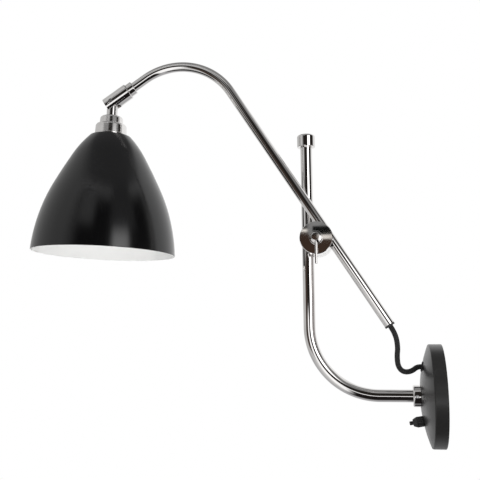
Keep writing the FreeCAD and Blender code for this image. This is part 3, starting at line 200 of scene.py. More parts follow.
class ShadeSizes(bpy.types.PropertyGroup):
    lean: angle("Lean", 2.4, "Lean of the shade's axis from upright")
    diameter: length("Diameter", 160, "Outside diameter of the mouth")
    height: length("Height", 135, "Height of the shade")
    wall: length("Wall", 1, "Thickness of the metal")
    top: length("Top diameter", 46.5, "Diameter of the flat top")
    top_round: length("Top edge", 1.8, "Radius of the top edge")
    slope: angle("Shoulder slope", 44, "Slope of the side at the top, from upright")
    shoulder: length("Shoulder diameter", 82, "Diameter where the shoulder ends")
    shoulder_drop: length("Shoulder drop", 23.7, "Depth where the shoulder ends")
    waist: length("Waist diameter", 119.2, "Diameter where the flank starts to round")
    waist_drop: length("Waist drop", 58.7, "Depth where the flank starts to round")
    ring: length("Ring diameter", 40, "Diameter of the ring that holds the shade")
    ring_height: length("Ring height", 4, "Height of that ring")
    holder: length("Holder diameter", 27, "Outside diameter of the lamp holder")
    holder_drop: length("Holder drop", 4.5, "From the cup's floor to the holder")
    holder_length: length("Holder length", 52, "Length of the lamp holder")
    well: length("Well diameter", 15.44, "Diameter of the holder's well for the bulb's cap")
    well_depth: length("Well depth", 27.5, "Depth of that well")
    groove: length("Groove", 17, "From the holder's mouth to the far side of its groove")
    bulb: length("Bulb diameter", 45, "Diameter of the globe")
    bulb_length: length("Bulb length", 46, "From the cap to the globe's end")
    bulb_neck: length("Bulb neck", 18, "Diameter of the bulb's neck")


class CordSizes(bpy.types.PropertyGroup):
    diameter: length("Diameter", 5.4, "Outside diameter of the cord")
    port: length("Port height", 30, "Height of the canopy's cord hole over the tube")
    grommet: length("Grommet hole", 8.4, "Diameter of the grommet in the canopy's hole")
    play: length("Grommet play", 0.35, "Gap between the cord and the grommet")
    flange: length("Grommet flange", 1.1, "Radial width of the grommet's flange")
    lip: length("Grommet lip", 0.8, "Thickness of the grommet's flange")
    first: length("First stretch", 38.5, "Cord from its inner end that moves with the post's clamp")
    second: length("Second stretch", 32.6, "Cord that swings with the clamp")
    straight: length("Straight end", 8, "Cord that stays in line with the arm, before its bush")


class Finishes(bpy.types.PropertyGroup):
    chrome: colour("Chrome", (0.80, 0.785, 0.775), "Plated tubes, discs and rings")
    enamel: colour("Canopy enamel", (0.010, 0.0098, 0.0096), "Satin black of the canopy")
    gloss: colour("Shade enamel", (0.0018, 0.0018, 0.0021), "Gloss black outside the shade")
    white: colour("Shade lining", (0.83, 0.83, 0.82), "White inside the shade")
    cord: colour("Cord", (0.0045, 0.0045, 0.0045), "Braided cord")
    rubber: colour("Rubber", (0.008, 0.008, 0.008), "Grommet and bush")
    moulding: colour("Black moulding", (0.006, 0.006, 0.006), "Switch, holder and grip")
    zinc: colour("Zinc plate", (0.52, 0.53, 0.54), "Bracket, nuts and screws")
    brass: colour("Brass", (0.72, 0.50, 0.23), "Contacts and terminal screws")
    fibre: colour("Fibre", (0.030, 0.026, 0.023), "Liners and friction washer")
    terminal: colour("Terminal block", (0.78, 0.78, 0.74), "White moulding")
    glass: colour("Opal glass", (0.88, 0.875, 0.85), "Bulb")


class WallLamp(bpy.types.PropertyGroup):
    canopy: PointerProperty(type=CanopySizes)
    switch: PointerProperty(type=SwitchSizes)
    post: PointerProperty(type=PostSizes)
    clamp: PointerProperty(type=ClampSizes)
    arm: PointerProperty(type=ArmSizes)
    knuckle: PointerProperty(type=KnuckleSizes)
    shade: PointerProperty(type=ShadeSizes)
    cord: PointerProperty(type=CordSizes)
    finish: PointerProperty(type=Finishes)


def lamp():
    """The lamp's sizes in the open scene."""
    return bpy.context.scene.wall_lamp


# ---------------------------------------------------------------------------------------------
# Places
# ---------------------------------------------------------------------------------------------
class Seat:
    """A place on the lamp: an origin and three axes, as rows."""

    def __init__(self, origin, turn=0.0, axes=None):
        self.origin = np.array(origin, float)
        self.turn = turn
        c, s = math.cos(turn), math.sin(turn)
        self.axes = np.array(((c, 0, -s), (0, 1, 0), (s, 0, c))) if axes is None else axes

    def moved(self, x=0.0, y=0.0, z=0.0, turn=0.0):
        """The same place moved along its own axes and turned about its Y axis."""
        return Seat(self.origin + np.array((x, y, z)) @ self.axes, self.turn + turn)

    def frontward(self):
        """The same place with its third axis towards the front of the lamp."""
        x, y, z = self.axes
        return Seat(self.origin, axes=np.array((x, z, -y)))

    def way(self, s):
        """A straight way along the third axis: centres, two side axes and the heading."""
        rows = np.ones((len(s), 1))
        return (self.origin + s[:, None] * self.axes[2],
                *(rows * axis for axis in self.axes))


def unit(vectors):
    """Vectors at length 1."""
    return vectors / np.linalg.norm(vectors, axis=-1, keepdims=True)


def bent_way(seat, level, bend, turn, side):
    """A way that runs straight, turns through an arc towards side times X, and runs straight.

    At arc length s the turned angle is (s - level) / bend, kept between 0 and turn.
    """
    def way(s):
        phi = np.clip((s - level) / bend, 0, turn)
        after = np.maximum(s - level - bend * turn, 0)
        x = side * (bend * (1 - np.cos(phi)) + after * np.sin(phi))
        z = np.minimum(s, level) + bend * np.sin(phi) + after * np.cos(phi)
        none = np.zeros_like(s)
        local = (np.stack((x, none, z), 1),
                 np.stack((np.cos(phi), none, -side * np.sin(phi)), 1),
                 np.stack((none, none + 1, none), 1),
                 np.stack((side * np.sin(phi), none, np.cos(phi)), 1))
        placed = [part @ seat.axes for part in local]
        placed[0] = placed[0] + seat.origin
        return placed
    return way


def wall_seat():
    """Origin on the wall in the level tube's axis, Z out of the wall."""
    return Seat((0, 0, 0), math.radians(-90))


def dome():
    """The dome's outside radius and the distance of its centre from the wall."""
    c = lamp().canopy
    radius = (c.diameter ** 2 / 4 + c.rise ** 2) / (2 * c.rise)
    return radius, c.rim + c.rise - radius


def dome_height(r, inward=0.0):
    """Distance from the wall of the dome, or of a surface inward of it, at a radius."""
    radius, centre = dome()
    return centre + math.sqrt((radius - inward) ** 2 - r ** 2)


def dome_seat(height):
    """A place on the dome's outside at a height over the tube, square to the dome."""
    radius, centre = dome()
    return wall_seat().moved(z=centre, turn=math.asin(height / radius)).moved(z=radius)


def clamp_seat():
    """Origin on the clamp's screw in the post's plane, Z up."""
    s = lamp()
    return Seat((s.clamp.post_offset - s.post.reach, 0, s.clamp.height))


def arm_seat():
    """Origin at the arm's lower end, Z up its long straight."""
    s = lamp()
    return clamp_seat().moved(turn=-s.arm.lean).moved(
        x=s.clamp.arm_offset, y=-s.clamp.plane_gap, z=-s.arm.tail)


def knuckle_seat():
    """Origin at the knuckle's lower end, Z back towards the arm."""
    a, k = lamp().arm, lamp().knuckle
    nose = arm_seat().moved(x=-a.bend * (1 - math.cos(a.turn)),
                            z=a.tail + a.rise + a.bend * math.sin(a.turn), turn=-a.turn)
    return nose.moved(z=a.nose + k.length, turn=math.pi)


def shade_seat():
    """Origin at the pivot, Z down the shade's axis."""
    pivot = knuckle_seat().moved(z=lamp().knuckle.inset)
    return Seat(pivot.origin, math.pi + lamp().shade.lean)


def shade_top():
    """Distance of the shade's flat top from the pivot."""
    k = lamp().knuckle
    return k.drop + k.ring_height + k.cup_height + k.lip_height


# ---------------------------------------------------------------------------------------------
# Surfaces
# ---------------------------------------------------------------------------------------------
FINE = 0.00012      # smallest edge radius
SMALL = 0.01        # radius under which an arc has longer steps
ARC_STEPS = math.radians(2.5), math.radians(9)      # of large and of small arcs
FIT = 0.00002       # clearance of pieces pushed or screwed together
SLIDE = 0.00005     # clearance of pieces that slide or turn in each other
GAP = 0.0001        # clearance of pieces that stand in front of each other
GLASS = 0.0009      # thickness of the bulb's glass
TUBE_STEP = 0.0028  # longest step along a bent tube
CORD_STEP = 0.0007  # longest step along the cord
SHARP = math.radians(32)                    # angle from which an edge of a solid stays sharp
ACROSS_DIMPLE = np.linspace(-1.5, 1.5, 25)  # steps across a dimple, in its radii
UV_MAP = "around_along"


def ahead_of(heading):
    """The direction of a heading."""
    return np.array((math.cos(heading), math.sin(heading)))


def right_of(heading):
    """The outward direction on the right of a heading, or of each of several."""
    return np.stack((np.sin(heading), -np.cos(heading)), -1)


class Side:
    """A side of an outline: an arc whose radius is bulge, or straight where that is 0."""

    def __init__(self, start, end, bulge):
        self.start, self.bulge = start, bulge
        self.run = np.hypot(*(end - start))
        heading = math.atan2(end[1] - start[1], end[0] - start[0])
        half = math.asin(self.run / (2 * bulge)) if bulge else 0.0
        self.first, self.last = heading - half, heading + half
        self.cut = self.trim = 0.0      # what the corners take off its start and its end

    def arc(self):
        """Start, heading, sweep and radius of what the corners leave of an arc."""
        centre = self.start - self.bulge * right_of(self.first)
        first = self.first + self.cut / self.bulge
        return (centre + self.bulge * right_of(first), first,
                self.last - self.trim / self.bulge - first, self.bulge)

    def straight(self, divide, stations):
        """The points of what the corners leave of a straight side."""
        ahead = ahead_of(self.first)
        ends = [self.cut, self.run - self.trim]
        where = list(ends)
        if divide and self.run > divide:
            where += list(np.linspace(*ends, int(self.run / divide) + 1)[1:-1])
        if abs(ahead[1]) > 0.9:
            held = (np.array(stations) - self.start[1]) / ahead[1]
            where += [h for h in held if ends[0] < h < ends[1]]
        return self.start + np.unique(np.round(where, 8))[:, None] * ahead


def arc_points(start, first, sweep, radius):
    """Points and outward normals of an arc, from its start, heading, sweep and radius."""
    steps = max(2, int(abs(sweep) / ARC_STEPS[abs(radius) < SMALL]) + 1)
    normals = right_of(first + sweep * np.linspace(0, 1, steps + 1))
    return start + radius * (normals - right_of(first)), normals


def outline(corners, closed=True, divide=None, stations=()):
    """An outline in (radius, height), walked with the metal on the left.

    Each corner is (radius, height, edge radius, side radius): the side that arrives there is an
    arc of the side radius, which bulges outward where it is positive, and straight where it is
    left out. A corner becomes an arc of its edge radius, tangent to both sides. divide is the
    longest step on a straight side, and stations are heights that a straight side must hold.
    Returns the points, their outward normals and the number of the side each lies on.
    """
    full = [(*c, *(None, None)[len(c) - 2:]) for c in corners]
    spots = np.array([c[:2] for c in full], float)
    count = len(spots)
    ends = [(i, (i + 1) % count) for i in range(count if closed else count - 1)]
    sides = [Side(spots[i], spots[j], full[j][3] or 0.0) for i, j in ends]
    edges = {}
    for i in range(0 if closed else 1, len(sides)):
        before, after = sides[i - 1], sides[i]
        turn = (after.first - before.last + math.pi) % (2 * math.pi) - math.pi
        edge = FINE if full[i][2] is None else full[i][2]
        if abs(turn) < 1e-3 or not edge:
            continue
        before.trim = after.cut = edge * math.tan(abs(turn) / 2)
        edges[i] = (spots[i] - ahead_of(before.last) * after.cut, before.last, turn,
                    math.copysign(edge, turn))
    pieces = []
    for i, side in enumerate(sides):
        if i in edges:
            pieces.append((*arc_points(*edges[i]), i))
        if side.bulge:
            pieces.append((*arc_points(*side.arc()), i))
        else:
            points = side.straight(divide, stations)
            pieces.append((points, np.repeat(right_of(side.first)[None], len(points), 0), i))
    points = np.concatenate([piece[0] for piece in pieces])
    normals = np.concatenate([piece[1] for piece in pieces])
    owners = np.concatenate([np.full(len(piece[0]), piece[2]) for piece in pieces])
    points[:, 0] = np.maximum(points[:, 0], 0)
    # Points that fall on their neighbour are left out.
    keep = np.hypot(*(points - np.roll(points, 1, 0)).T) > 1e-7
    keep[0] = True
    return points[keep], normals[keep], owners[keep]


def grid_faces(index):
    """Quads between the rows and columns of a grid of point numbers."""
    return np.stack((index[:-1, :-1], index[:-1, 1:], index[1:, 1:], index[1:, :-1]),
                    2).reshape(-1, 4)


def ring_faces(index):
    """Quads between the rows of such a grid, closed round each row."""
    return grid_faces(np.hstack((index, index[:, :1])))


def grid_uv(across, up):
    """The UV corners of a grid's quads, from the values at its columns and its rows."""
    corners = np.stack(np.meshgrid(across, up), 2)
    index = np.arange(corners.size // 2).reshape(corners.shape[:2])
    return corners.reshape(-1, 2)[grid_faces(index)]


def capped_tube(rings, ends):
    """Points and quads of a tube of rings, closed by a fan to a point at each end."""
    index = np.arange(rings.size // 3).reshape(rings.shape[:2])
    after = np.roll(index, -1, 1)
    first, last = np.full_like(index[:2], index.size) + ((0,), (1,))
    caps = [np.stack((after[0], index[0], first, first), 1),
            np.stack((index[-1], after[-1], last, last), 1)]
    return (np.concatenate((rings.reshape(-1, 3), ends)),
            np.concatenate((ring_faces(index), *caps)))


def mesh_object(name, vertices, faces, normals=None, uv=None, slots=None):
    """A mesh object at the origin from whole arrays; triangles repeat their last corner."""
    used, faces = np.unique(faces, return_inverse=True)
    faces = faces.reshape(-1, 4)
    vertices = vertices[used]
    same = np.stack([faces[:, i] == faces[:, (i + 1) % 4] for i in range(4)], 1)
    keep = same.sum(1) < 2
    faces, same = faces[keep], same[keep]
    sizes = 4 - same.sum(1)
    corners = faces[~same]
    mesh = bpy.data.meshes.new(name)
    mesh.vertices.add(len(vertices))
    mesh.vertices.foreach_set("co", vertices.astype(np.float32).ravel())
    mesh.loops.add(len(corners))
    mesh.loops.foreach_set("vertex_index", corners.astype(np.int32))
    mesh.polygons.add(len(sizes))
    mesh.polygons.foreach_set("loop_start",
                              np.concatenate(([0], np.cumsum(sizes)[:-1])).astype(np.int32))
    mesh.polygons.foreach_set("loop_total", sizes.astype(np.int32))
    if slots is not None:
        mesh.polygons.foreach_set("material_index", slots[keep].astype(np.int32))
    mesh.update(calc_edges=True)
    mesh.polygons.foreach_set("use_smooth", np.full(len(sizes), True))
    if uv is not None:
        layer = mesh.uv_layers.new(name=UV_MAP)
        layer.data.foreach_set("uv", uv[keep][~same].astype(np.float32).ravel())
    mesh.validate()
    if normals is not None:
        mesh.normals_split_custom_set_from_vertices(normals[used].tolist())
    made = bpy.data.objects.new(name, mesh)
    bpy.context.scene.collection.objects.link(made)
    return made


def carried(name, way, traced, around=96, closed=True, slots=None, dimples=(), flute=None):
    """Carry a traced outline round and along a way.

    The point at angle a and outline point (r, s) is the way's centre at s, plus r times
    (cos a X + sin a Y); its normal is the outline's, turned the same way. A dimple (angle,
    height, radius, depth) sinks the outer side by a smooth step of the distance from its
    middle, from 1.1 to 0.9 of its radius. flute(a, s, r) is taken off the radius.
    """
    points, normals, owners = traced
    angles = np.linspace(0, 2 * math.pi, around, endpoint=False)
    for middle, _, radius, _ in dimples:
        reach = ACROSS_DIMPLE * radius / points[:, 0].max()
        angles = np.concatenate((angles, (middle + reach) % (2 * math.pi)))
    angles = np.unique(np.round(angles, 5))
    r, s = points[:, :1], points[:, 1:]
    centres, across, beside, heading = (part[:, None, :] for part in way(points[:, 1]))
    ring = (across * np.cos(angles)[None, :, None] + beside * np.sin(angles)[None, :, None])
    radii = np.repeat(r, len(angles), 1)
    sunk = np.zeros_like(radii, bool)
    for middle, height, radius, depth in dimples:
        away = (angles[None] - middle + math.pi) % (2 * math.pi) - math.pi
        reach = np.hypot(s - height, radii * np.sin(away))
        near = (np.cos(away) > 0) & (radii > 0.97 * points[:, 0].max())
        step = np.clip((radius * 1.1 - reach) / (radius * 0.2), 0, 1)
        radii = radii - depth * step * step * (3 - 2 * step) * near
        sunk |= (reach < radius * 1.6) & near
    if flute is not None:
        radii = radii - flute(angles[None], s, r)
        sunk[:] = True
    grid = centres + radii[:, :, None] * ring
    facing = normals[:, :1, None] * ring + normals[:, 1:, None] * heading
    if sunk.any():
        along = np.gradient(grid, axis=0)
        turning = np.roll(grid, -1, 1) - np.roll(grid, 1, 1)
        worked = np.cross(turning, along)
        size = np.linalg.norm(worked, axis=2, keepdims=True)
        worked = np.where(size > 1e-14, worked / np.maximum(size, 1e-14), facing)
        facing = np.where(sunk[:, :, None], worked, facing)
    rows, columns = radii.shape
    index = np.arange(rows * columns).reshape(rows, columns)
    uv_rows = np.concatenate(([0], np.cumsum(np.hypot(*np.diff(points, axis=0).T))))
    if closed:
        uv_rows = np.append(uv_rows, uv_rows[-1] + np.hypot(*(points[0] - points[-1])))
        index = np.vstack((index, index[:1]))
        owners = np.append(owners, owners[:1])
    else:
        if points[0, 0] < 1e-9:
            index[0] = index[0, 0]
        if points[-1, 0] < 1e-9:
            index[-1] = index[-1, 0]
    uv = grid_uv(np.append(angles / (2 * math.pi), 1.0), uv_rows)
    chosen = None
    if slots is not None:
        chosen = np.repeat(np.array(slots)[owners[:-1]], columns)
    return mesh_object(name, grid.reshape(-1, 3), ring_faces(index), facing.reshape(-1, 3), uv,
                       chosen)


def finished_copy(node, bevel):
    """A merged copy of a CAD node's mesh, smooth except at sharp edges, which get a bevel."""
    mesh = frame["nodes"][node].data
    places = np.zeros(len(mesh.vertices) * 3, np.float32)
    mesh.vertices.foreach_get("co", places)
    mesh.calc_loop_triangles()
    corners = np.zeros(len(mesh.loop_triangles) * 3, np.int32)
    mesh.loop_triangles.foreach_get("vertices", corners)
    spots, where = np.unique(np.round(places.reshape(-1, 3).astype(float), 7), axis=0,
                             return_inverse=True)
    triangles = where.ravel()[corners].reshape(-1, 3)
    faces = np.concatenate((triangles, triangles[:, 2:]), 1)
    made = mesh_object(f"{node}_finished", spots, faces)
    made.data.set_sharp_from_angle(angle=SHARP)
    if bevel:
        edge = made.modifiers.new("Edges", "BEVEL")
        edge.width, edge.segments = bevel, 2
        edge.limit_method, edge.angle_limit = "ANGLE", SHARP
        edge.harden_normals = edge.use_clamp_overlap = True
    return made


def seat_piece(made, body, slot, *nodes, extra=(), skin=None):
    """Give a piece its finish, let it ride on a body and stand for its CAD nodes.

    skin is a finish in place of the slot's own, and extra are the finishes after it.
    """
    for name in (skin or slot, *extra):
        made.data.materials.append(finish(name))
    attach(made, body)
    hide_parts(*nodes)


def turned(name, seat, corners, around, body, slot, node, closed=True, skin=None, divide=None):
    """Turn an outline round the third axis of a seat, as a finished piece."""
    made = carried(name, seat.way, outline(corners, closed, divide), around, closed)
    seat_piece(made, body, slot, node, skin=skin)


# ---------------------------------------------------------------------------------------------
# Finishes
# ---------------------------------------------------------------------------------------------
class Tree:
    """Places shader nodes in a tree and joins them."""

    def __init__(self, tree):
        self.tree = tree

    def node(self, kind, inputs=None, **settings):
        """A node with its settings and inputs."""
        made = self.tree.nodes.new(kind)
        made.location = (200 * len(self.tree.nodes), 0)
        for key, value in settings.items():
            setattr(made, key, value)
        for key, value in (inputs or {}).items():
            if isinstance(value, bpy.types.NodeSocket):
                self.tree.links.new(value, made.inputs[key])
            else:
                made.inputs[key].default_value = value
        return made

    def add(self, kind, inputs=None, output=0, **settings):
        """One output of a new node."""
        return self.node(kind, inputs, **settings).outputs[output]

    def maths(self, operation, first, second=0.0, third=0.0):
        return self.add("ShaderNodeMath", {0: first, 1: second, 2: third}, operation=operation)

    def spread(self, value, low, high, to_low=0.0, to_high=1.0):
        """A value mapped smoothly from one range to another."""
        return self.add("ShaderNodeMapRange", {
            "Value": value, "From Min": low, "From Max": high, "To Min": to_low,
            "To Max": to_high}, interpolation_type="SMOOTHSTEP")

    def mixed(self, factor, first, second):
        return self.add("ShaderNodeMix", {0: factor, 6: first, 7: second}, output=2,
                        data_type="RGBA")

    def noise(self, vector, scale, detail, rough):
        return self.add("ShaderNodeTexNoise", {
            "Vector": vector, "Scale": scale, "Detail": detail, "Roughness": rough})


def fresh_tree(owner):
    """The emptied node tree of a material or a world."""
    owner.use_nodes = True
    owner.node_tree.nodes.clear()
    return Tree(owner.node_tree)


def effect(name, inputs, build):
    """A shader node group, made once, that puts out a colour, a roughness and a height.

    inputs gives the default of each input, and the group also takes a vector.
    """
    known = bpy.data.node_groups.get(name)
    if known:
        return known
    group = bpy.data.node_groups.new(name, "ShaderNodeTree")
    sockets = group.interface
    sockets.new_socket(name="Vector", in_out="INPUT", socket_type="NodeSocketVector")
    for label, default in inputs.items():
        kind = "NodeSocketColor" if isinstance(default, tuple) else "NodeSocketFloat"
        sockets.new_socket(name=label, in_out="INPUT", socket_type=kind).default_value = default
    sockets.new_socket(name="Colour", in_out="OUTPUT", socket_type="NodeSocketColor")
    for label in ("Roughness", "Height"):
        sockets.new_socket(name=label, in_out="OUTPUT", socket_type="NodeSocketFloat")
    tree = Tree(group)
    given = group.nodes.new("NodeGroupInput").outputs
    tree.node("NodeGroupOutput", build(tree, given))
    return group


def plate_haze():
    """Polish haze: broad smears set the colour and the roughness, fine buffing the height."""
    def build(tree, given):
        broad = tree.noise(given["Vector"], 38.0, 4.0, 0.6)
        return {
            "Roughness": tree.spread(broad, 0.35, 0.72, given["Clean"], given["Hazy"]),
            "Colour": tree.mixed(tree.spread(broad, 0.3, 0.75), given["Bright"], given["Dull"]),
            "Height": tree.noise(given["Vector"], given["Grain"], 2.0, 0.5),
        }
    return effect("Plate haze", {
        "Grain": 900.0, "Clean": 0.03, "Hazy": 0.08, "Bright": (0.8, 0.8, 0.8, 1),
        "Dull": (0.7, 0.7, 0.7, 1)}, build)


def paint_skin():
    """Sprayed enamel: orange peel in the height, uneven gloss, and a little dust in the colour."""
    def build(tree, given):
        broad = tree.noise(given["Vector"], 26.0, 3.0, 0.6)
        specks = tree.noise(given["Vector"], 2100.0, 1.0, 0.5)
        dust = tree.maths("MULTIPLY", tree.spread(specks, 0.66, 0.78), given["Dust"])
        return {
            "Colour": tree.mixed(dust, given["Paint"], (0.42, 0.41, 0.39, 1)),
            "Roughness": tree.spread(broad, 0.3, 0.7, given["Gloss"], given["Dull"]),
            "Height": tree.noise(given["Vector"], given["Peel"], 2.0, 0.45),
        }
    return effect("Paint skin", {
        "Paint": (0.02, 0.02, 0.02, 1), "Peel": 420.0, "Gloss": 0.2, "Dull": 0.3,
        "Dust": 0.05}, build)


def moulded_grain():
    """Moulded plastic or rubber: fine spark grain, and a colour a little uneven."""
    def build(tree, given):
        grain = tree.noise(given["Vector"], given["Grain"], 3.0, 0.6)
        broad = tree.noise(given["Vector"], 70.0, 2.0, 0.5)
        return {
            "Colour": tree.mixed(tree.spread(broad, 0.3, 0.7), given["First"], given["Second"]),
            "Roughness": tree.spread(grain, 0.3, 0.7, given["Smooth"], given["Rough"]),
            "Height": grain,
        }
    return effect("Moulded grain", {
        "Grain": 1500.0, "First": (0.02, 0.02, 0.02, 1), "Second": (0.03, 0.03, 0.03, 1),
        "Smooth": 0.4, "Rough": 0.6}, build)


def braid():
    """Two sets of yarns wound opposite ways round the cord, each passing over and under."""
    def build(tree, given):
        turn, run = tree.node("ShaderNodeSeparateXYZ", {0: given["Vector"]}).outputs[:2]
        around = tree.maths("MULTIPLY", turn, given["Yarns"])
        along = tree.maths("DIVIDE", run, given["Pitch"])
        ways = tree.maths("ADD", around, along), tree.maths("SUBTRACT", around, along)
        bumps = [tree.maths("ABSOLUTE", tree.maths("SINE", tree.maths("MULTIPLY", v, math.pi)))
                 for v in ways]
        cells = [tree.maths("FLOOR", v) for v in ways]
        over = tree.maths("PINGPONG", tree.maths("ADD", *cells), 1.0)
        height = tree.add("ShaderNodeMix", {0: over, 2: bumps[0], 3: bumps[1]},
                          data_type="FLOAT")
        fibre = tree.noise(given["Vector"], 2600.0, 2.0, 0.6)
        lifted = tree.maths("ADD", height, tree.maths("MULTIPLY", fibre, 0.25))
        return {
            # Colour darker where the yarns lie low, a painted shade between them, and lighter on
            # their crowns, a painted highlight
            "Colour": tree.mixed(tree.spread(lifted, 0.1, 1.1), given["Deep"], given["Worn"]),
            "Roughness": tree.spread(fibre, 0.3, 0.7, 0.62, 0.85),
            "Height": lifted,
        }
    return effect("Braid", {
        "Yarns": 12.0, "Pitch": 0.0016, "Deep": (0.004, 0.004, 0.004, 1),
        "Worn": (0.03, 0.03, 0.03, 1)}, build)


def mixed_colour(base, other, amount):
    """A colour moved towards another by an amount."""
    return tuple(a + (b - a) * amount for a, b in zip(base, other))


def material(name, group, settings, shader, bump, wound=False):
    """A material whose group drives the Principled shader; bump is (strength, distance).

    The group reads Object coordinates, or where wound the piece's own UV map.
    """
    made = bpy.data.materials.new(name)
    tree = fresh_tree(made)
    if wound:
        where = tree.add("ShaderNodeUVMap", uv_map=UV_MAP)
    else:
        where = tree.add("ShaderNodeTexCoord", output="Object")
    skin = tree.node("ShaderNodeGroup", {"Vector": where, **settings}, node_tree=group).outputs
    normal = tree.add("ShaderNodeBump", {"Strength": bump[0], "Distance": bump[1],
                                         "Height": skin["Height"]})
    surface = tree.add("ShaderNodeBsdfPrincipled", {
        **shader, "Normal": normal, "Roughness": skin["Roughness"],
        "Base Color": skin["Colour"]})
    tree.node("ShaderNodeOutputMaterial", {"Surface": surface})
    return made


def plated(name, base, clean, hazy, relief=0.0000006):
    """Plate or bare metal, a little darker and rougher where it is hazy."""
    return material(name, plate_haze(), {
        "Clean": clean, "Hazy": hazy, "Bright": (*base, 1),
        "Dull": (*mixed_colour(base, (0, 0, 0), 0.14), 1)}, {"Metallic": 1.0}, (0.35, relief))


def cap_plate(name, base, *numbers):
    """The thin plate on the bulb's cap, which its brass warms."""
    return plated(name, mixed_colour(base, lamp().finish.brass, 0.35), *numbers)


def painted(name, base, gloss, dull, peel, relief, dust):
    """Sprayed enamel."""
    return material(name, paint_skin(), {
        "Paint": (*base, 1), "Gloss": gloss, "Dull": dull, "Peel": peel, "Dust": dust},
        {"Metallic": 0.0}, (0.5, relief))


def moulded(name, base, smooth, rough, grain, relief, **shader):
    """Plastic, rubber or fibre."""
    return material(name, moulded_grain(), {
        "First": (*base, 1), "Second": (*mixed_colour(base, (0.5, 0.5, 0.5), 0.03), 1),
        "Smooth": smooth, "Rough": rough, "Grain": grain},
        {"Metallic": 0.0, **shader}, (0.5, relief))


def opal(name, base, *numbers):
    """Opal glass, which lets a little light into its skin."""
    return moulded(name, base, *numbers,
                   **{"Subsurface Weight": 0.35, "Subsurface Scale": 0.004})


def braided(name, base, *bump):
    """Braided fabric, with a painted shade between its yarns and a painted highlight on their
    crowns.
    """
    return material(name, braid(), {
        # A painted shade between the yarns at 0.35 of the cord's colour, and a painted highlight on
        # their crowns at 2.6 times it
        "Deep": (*(0.35 * c for c in base), 1), "Worn": (*(min(1, 2.6 * c) for c in base), 1)},
        {"Metallic": 0.0, "Sheen Weight": 0.06, "Sheen Roughness": 0.4}, bump, wound=True)


# How each finish is made, its colour in the lamp's settings, and the numbers of that making
FINISHES = {
    "chrome": (plated, "chrome", 0.015, 0.045),
    "satin_chrome": (plated, "chrome", 0.13, 0.19),
    "zinc_steel": (plated, "zinc", 0.24, 0.38, 0.00002),
    "bare_brass": (plated, "brass", 0.18, 0.32, 0.00001),
    "lamp_cap": (cap_plate, "zinc", 0.2, 0.34, 0.00001),
    "canopy_enamel": (painted, "enamel", 0.30, 0.38, 520.0, 0.00002, 0.03),
    "shade_enamel": (painted, "gloss", 0.15, 0.20, 330.0, 0.00001, 0.008),
    "shade_lining": (painted, "white", 0.42, 0.55, 420.0, 0.00002, 0.01),
    "cord_rubber": (moulded, "rubber", 0.5, 0.7, 1900.0, 0.00003),
    "black_moulding": (moulded, "moulding", 0.34, 0.5, 1500.0, 0.00001),
    "white_moulding": (moulded, "terminal", 0.35, 0.5, 1200.0, 0.00001),
    "liner_fibre": (moulded, "fibre", 0.6, 0.85, 900.0, 0.00004),
    "opal_glass": (opal, "glass", 0.10, 0.16, 500.0, 0.000004),
    "cord_fabric": (braided, "cord", 0.8, 0.00025),
}


def finish(name):
    """The material of one of the record's slots, or of a finish that only the scene has."""
    known = bpy.data.materials.get(f"lamp_{name}")
    if known:
        return known
    make, colour_name, *numbers = FINISHES[name]
    return make(f"lamp_{name}", tuple(getattr(lamp().finish, colour_name)), *numbers)


# ---------------------------------------------------------------------------------------------
# Pieces
# ---------------------------------------------------------------------------------------------
class LampStep(bpy.types.Operator):
    """A step in making the wall lamp"""
    bl_idname = "wall_lamp.step"
    bl_label = "Step"
    bl_options = {"REGISTER", "UNDO"}

    def execute(self, context):
        self.make(context.scene.wall_lamp)
        return {"FINISHED"}

    def make(self, sizes):
        raise NotImplementedError


class WALL_LAMP_OT_canopy(LampStep):
    """Press the black domed canopy, and turn the collar that holds the tube in it"""
    bl_idname = "wall_lamp.canopy"
    bl_label = "Canopy"

    def make(self, sizes):
        c = sizes.canopy
        outer, seat = c.diameter / 2, c.seat / 2
        inner, bore = outer - c.wall, sizes.post.diameter / 2 + FIT
        radius, face = dome()[0], dome_height(seat)
        shell = outline([
            (outer, 0), (outer, c.rim, c.edge), (seat, face, 0.0006, radius), (bore, face),
            (bore, face - c.wall), (seat, face - c.wall, 0.0004),
            (inner, dome_height(inner, c.wall), 0.0005, c.wall - radius), (inner, 0),
        ], stations=c.screw_depth + ACROSS_DIMPLE * c.screw / 2)
        screws = [(turn, c.screw_depth, c.screw / 2, c.screw_sink) for turn in (0, math.pi)]
        seat_piece(carried("canopy_shell", wall_seat().way, shell, 192, dimples=screws),
                   "wall_plate", "canopy_enamel", "wall_canopy")
        outer, end = c.collar / 2, face + c.collar_length
        middle, screw = face + c.collar_length / 2, c.collar_screw / 2
        collar = outline([
            (bore, face), (outer, face, 0.0005), (outer, end, c.collar_round),
            (bore, end, 0.0004)], stations=middle + ACROSS_DIMPLE * screw)
        below = [(1.5 * math.pi, middle, screw, c.collar_sink)]
        seat_piece(carried("collar_ring", wall_seat().way, collar, 128, dimples=below),
                   "wall_plate", "chrome", "tube_collar")


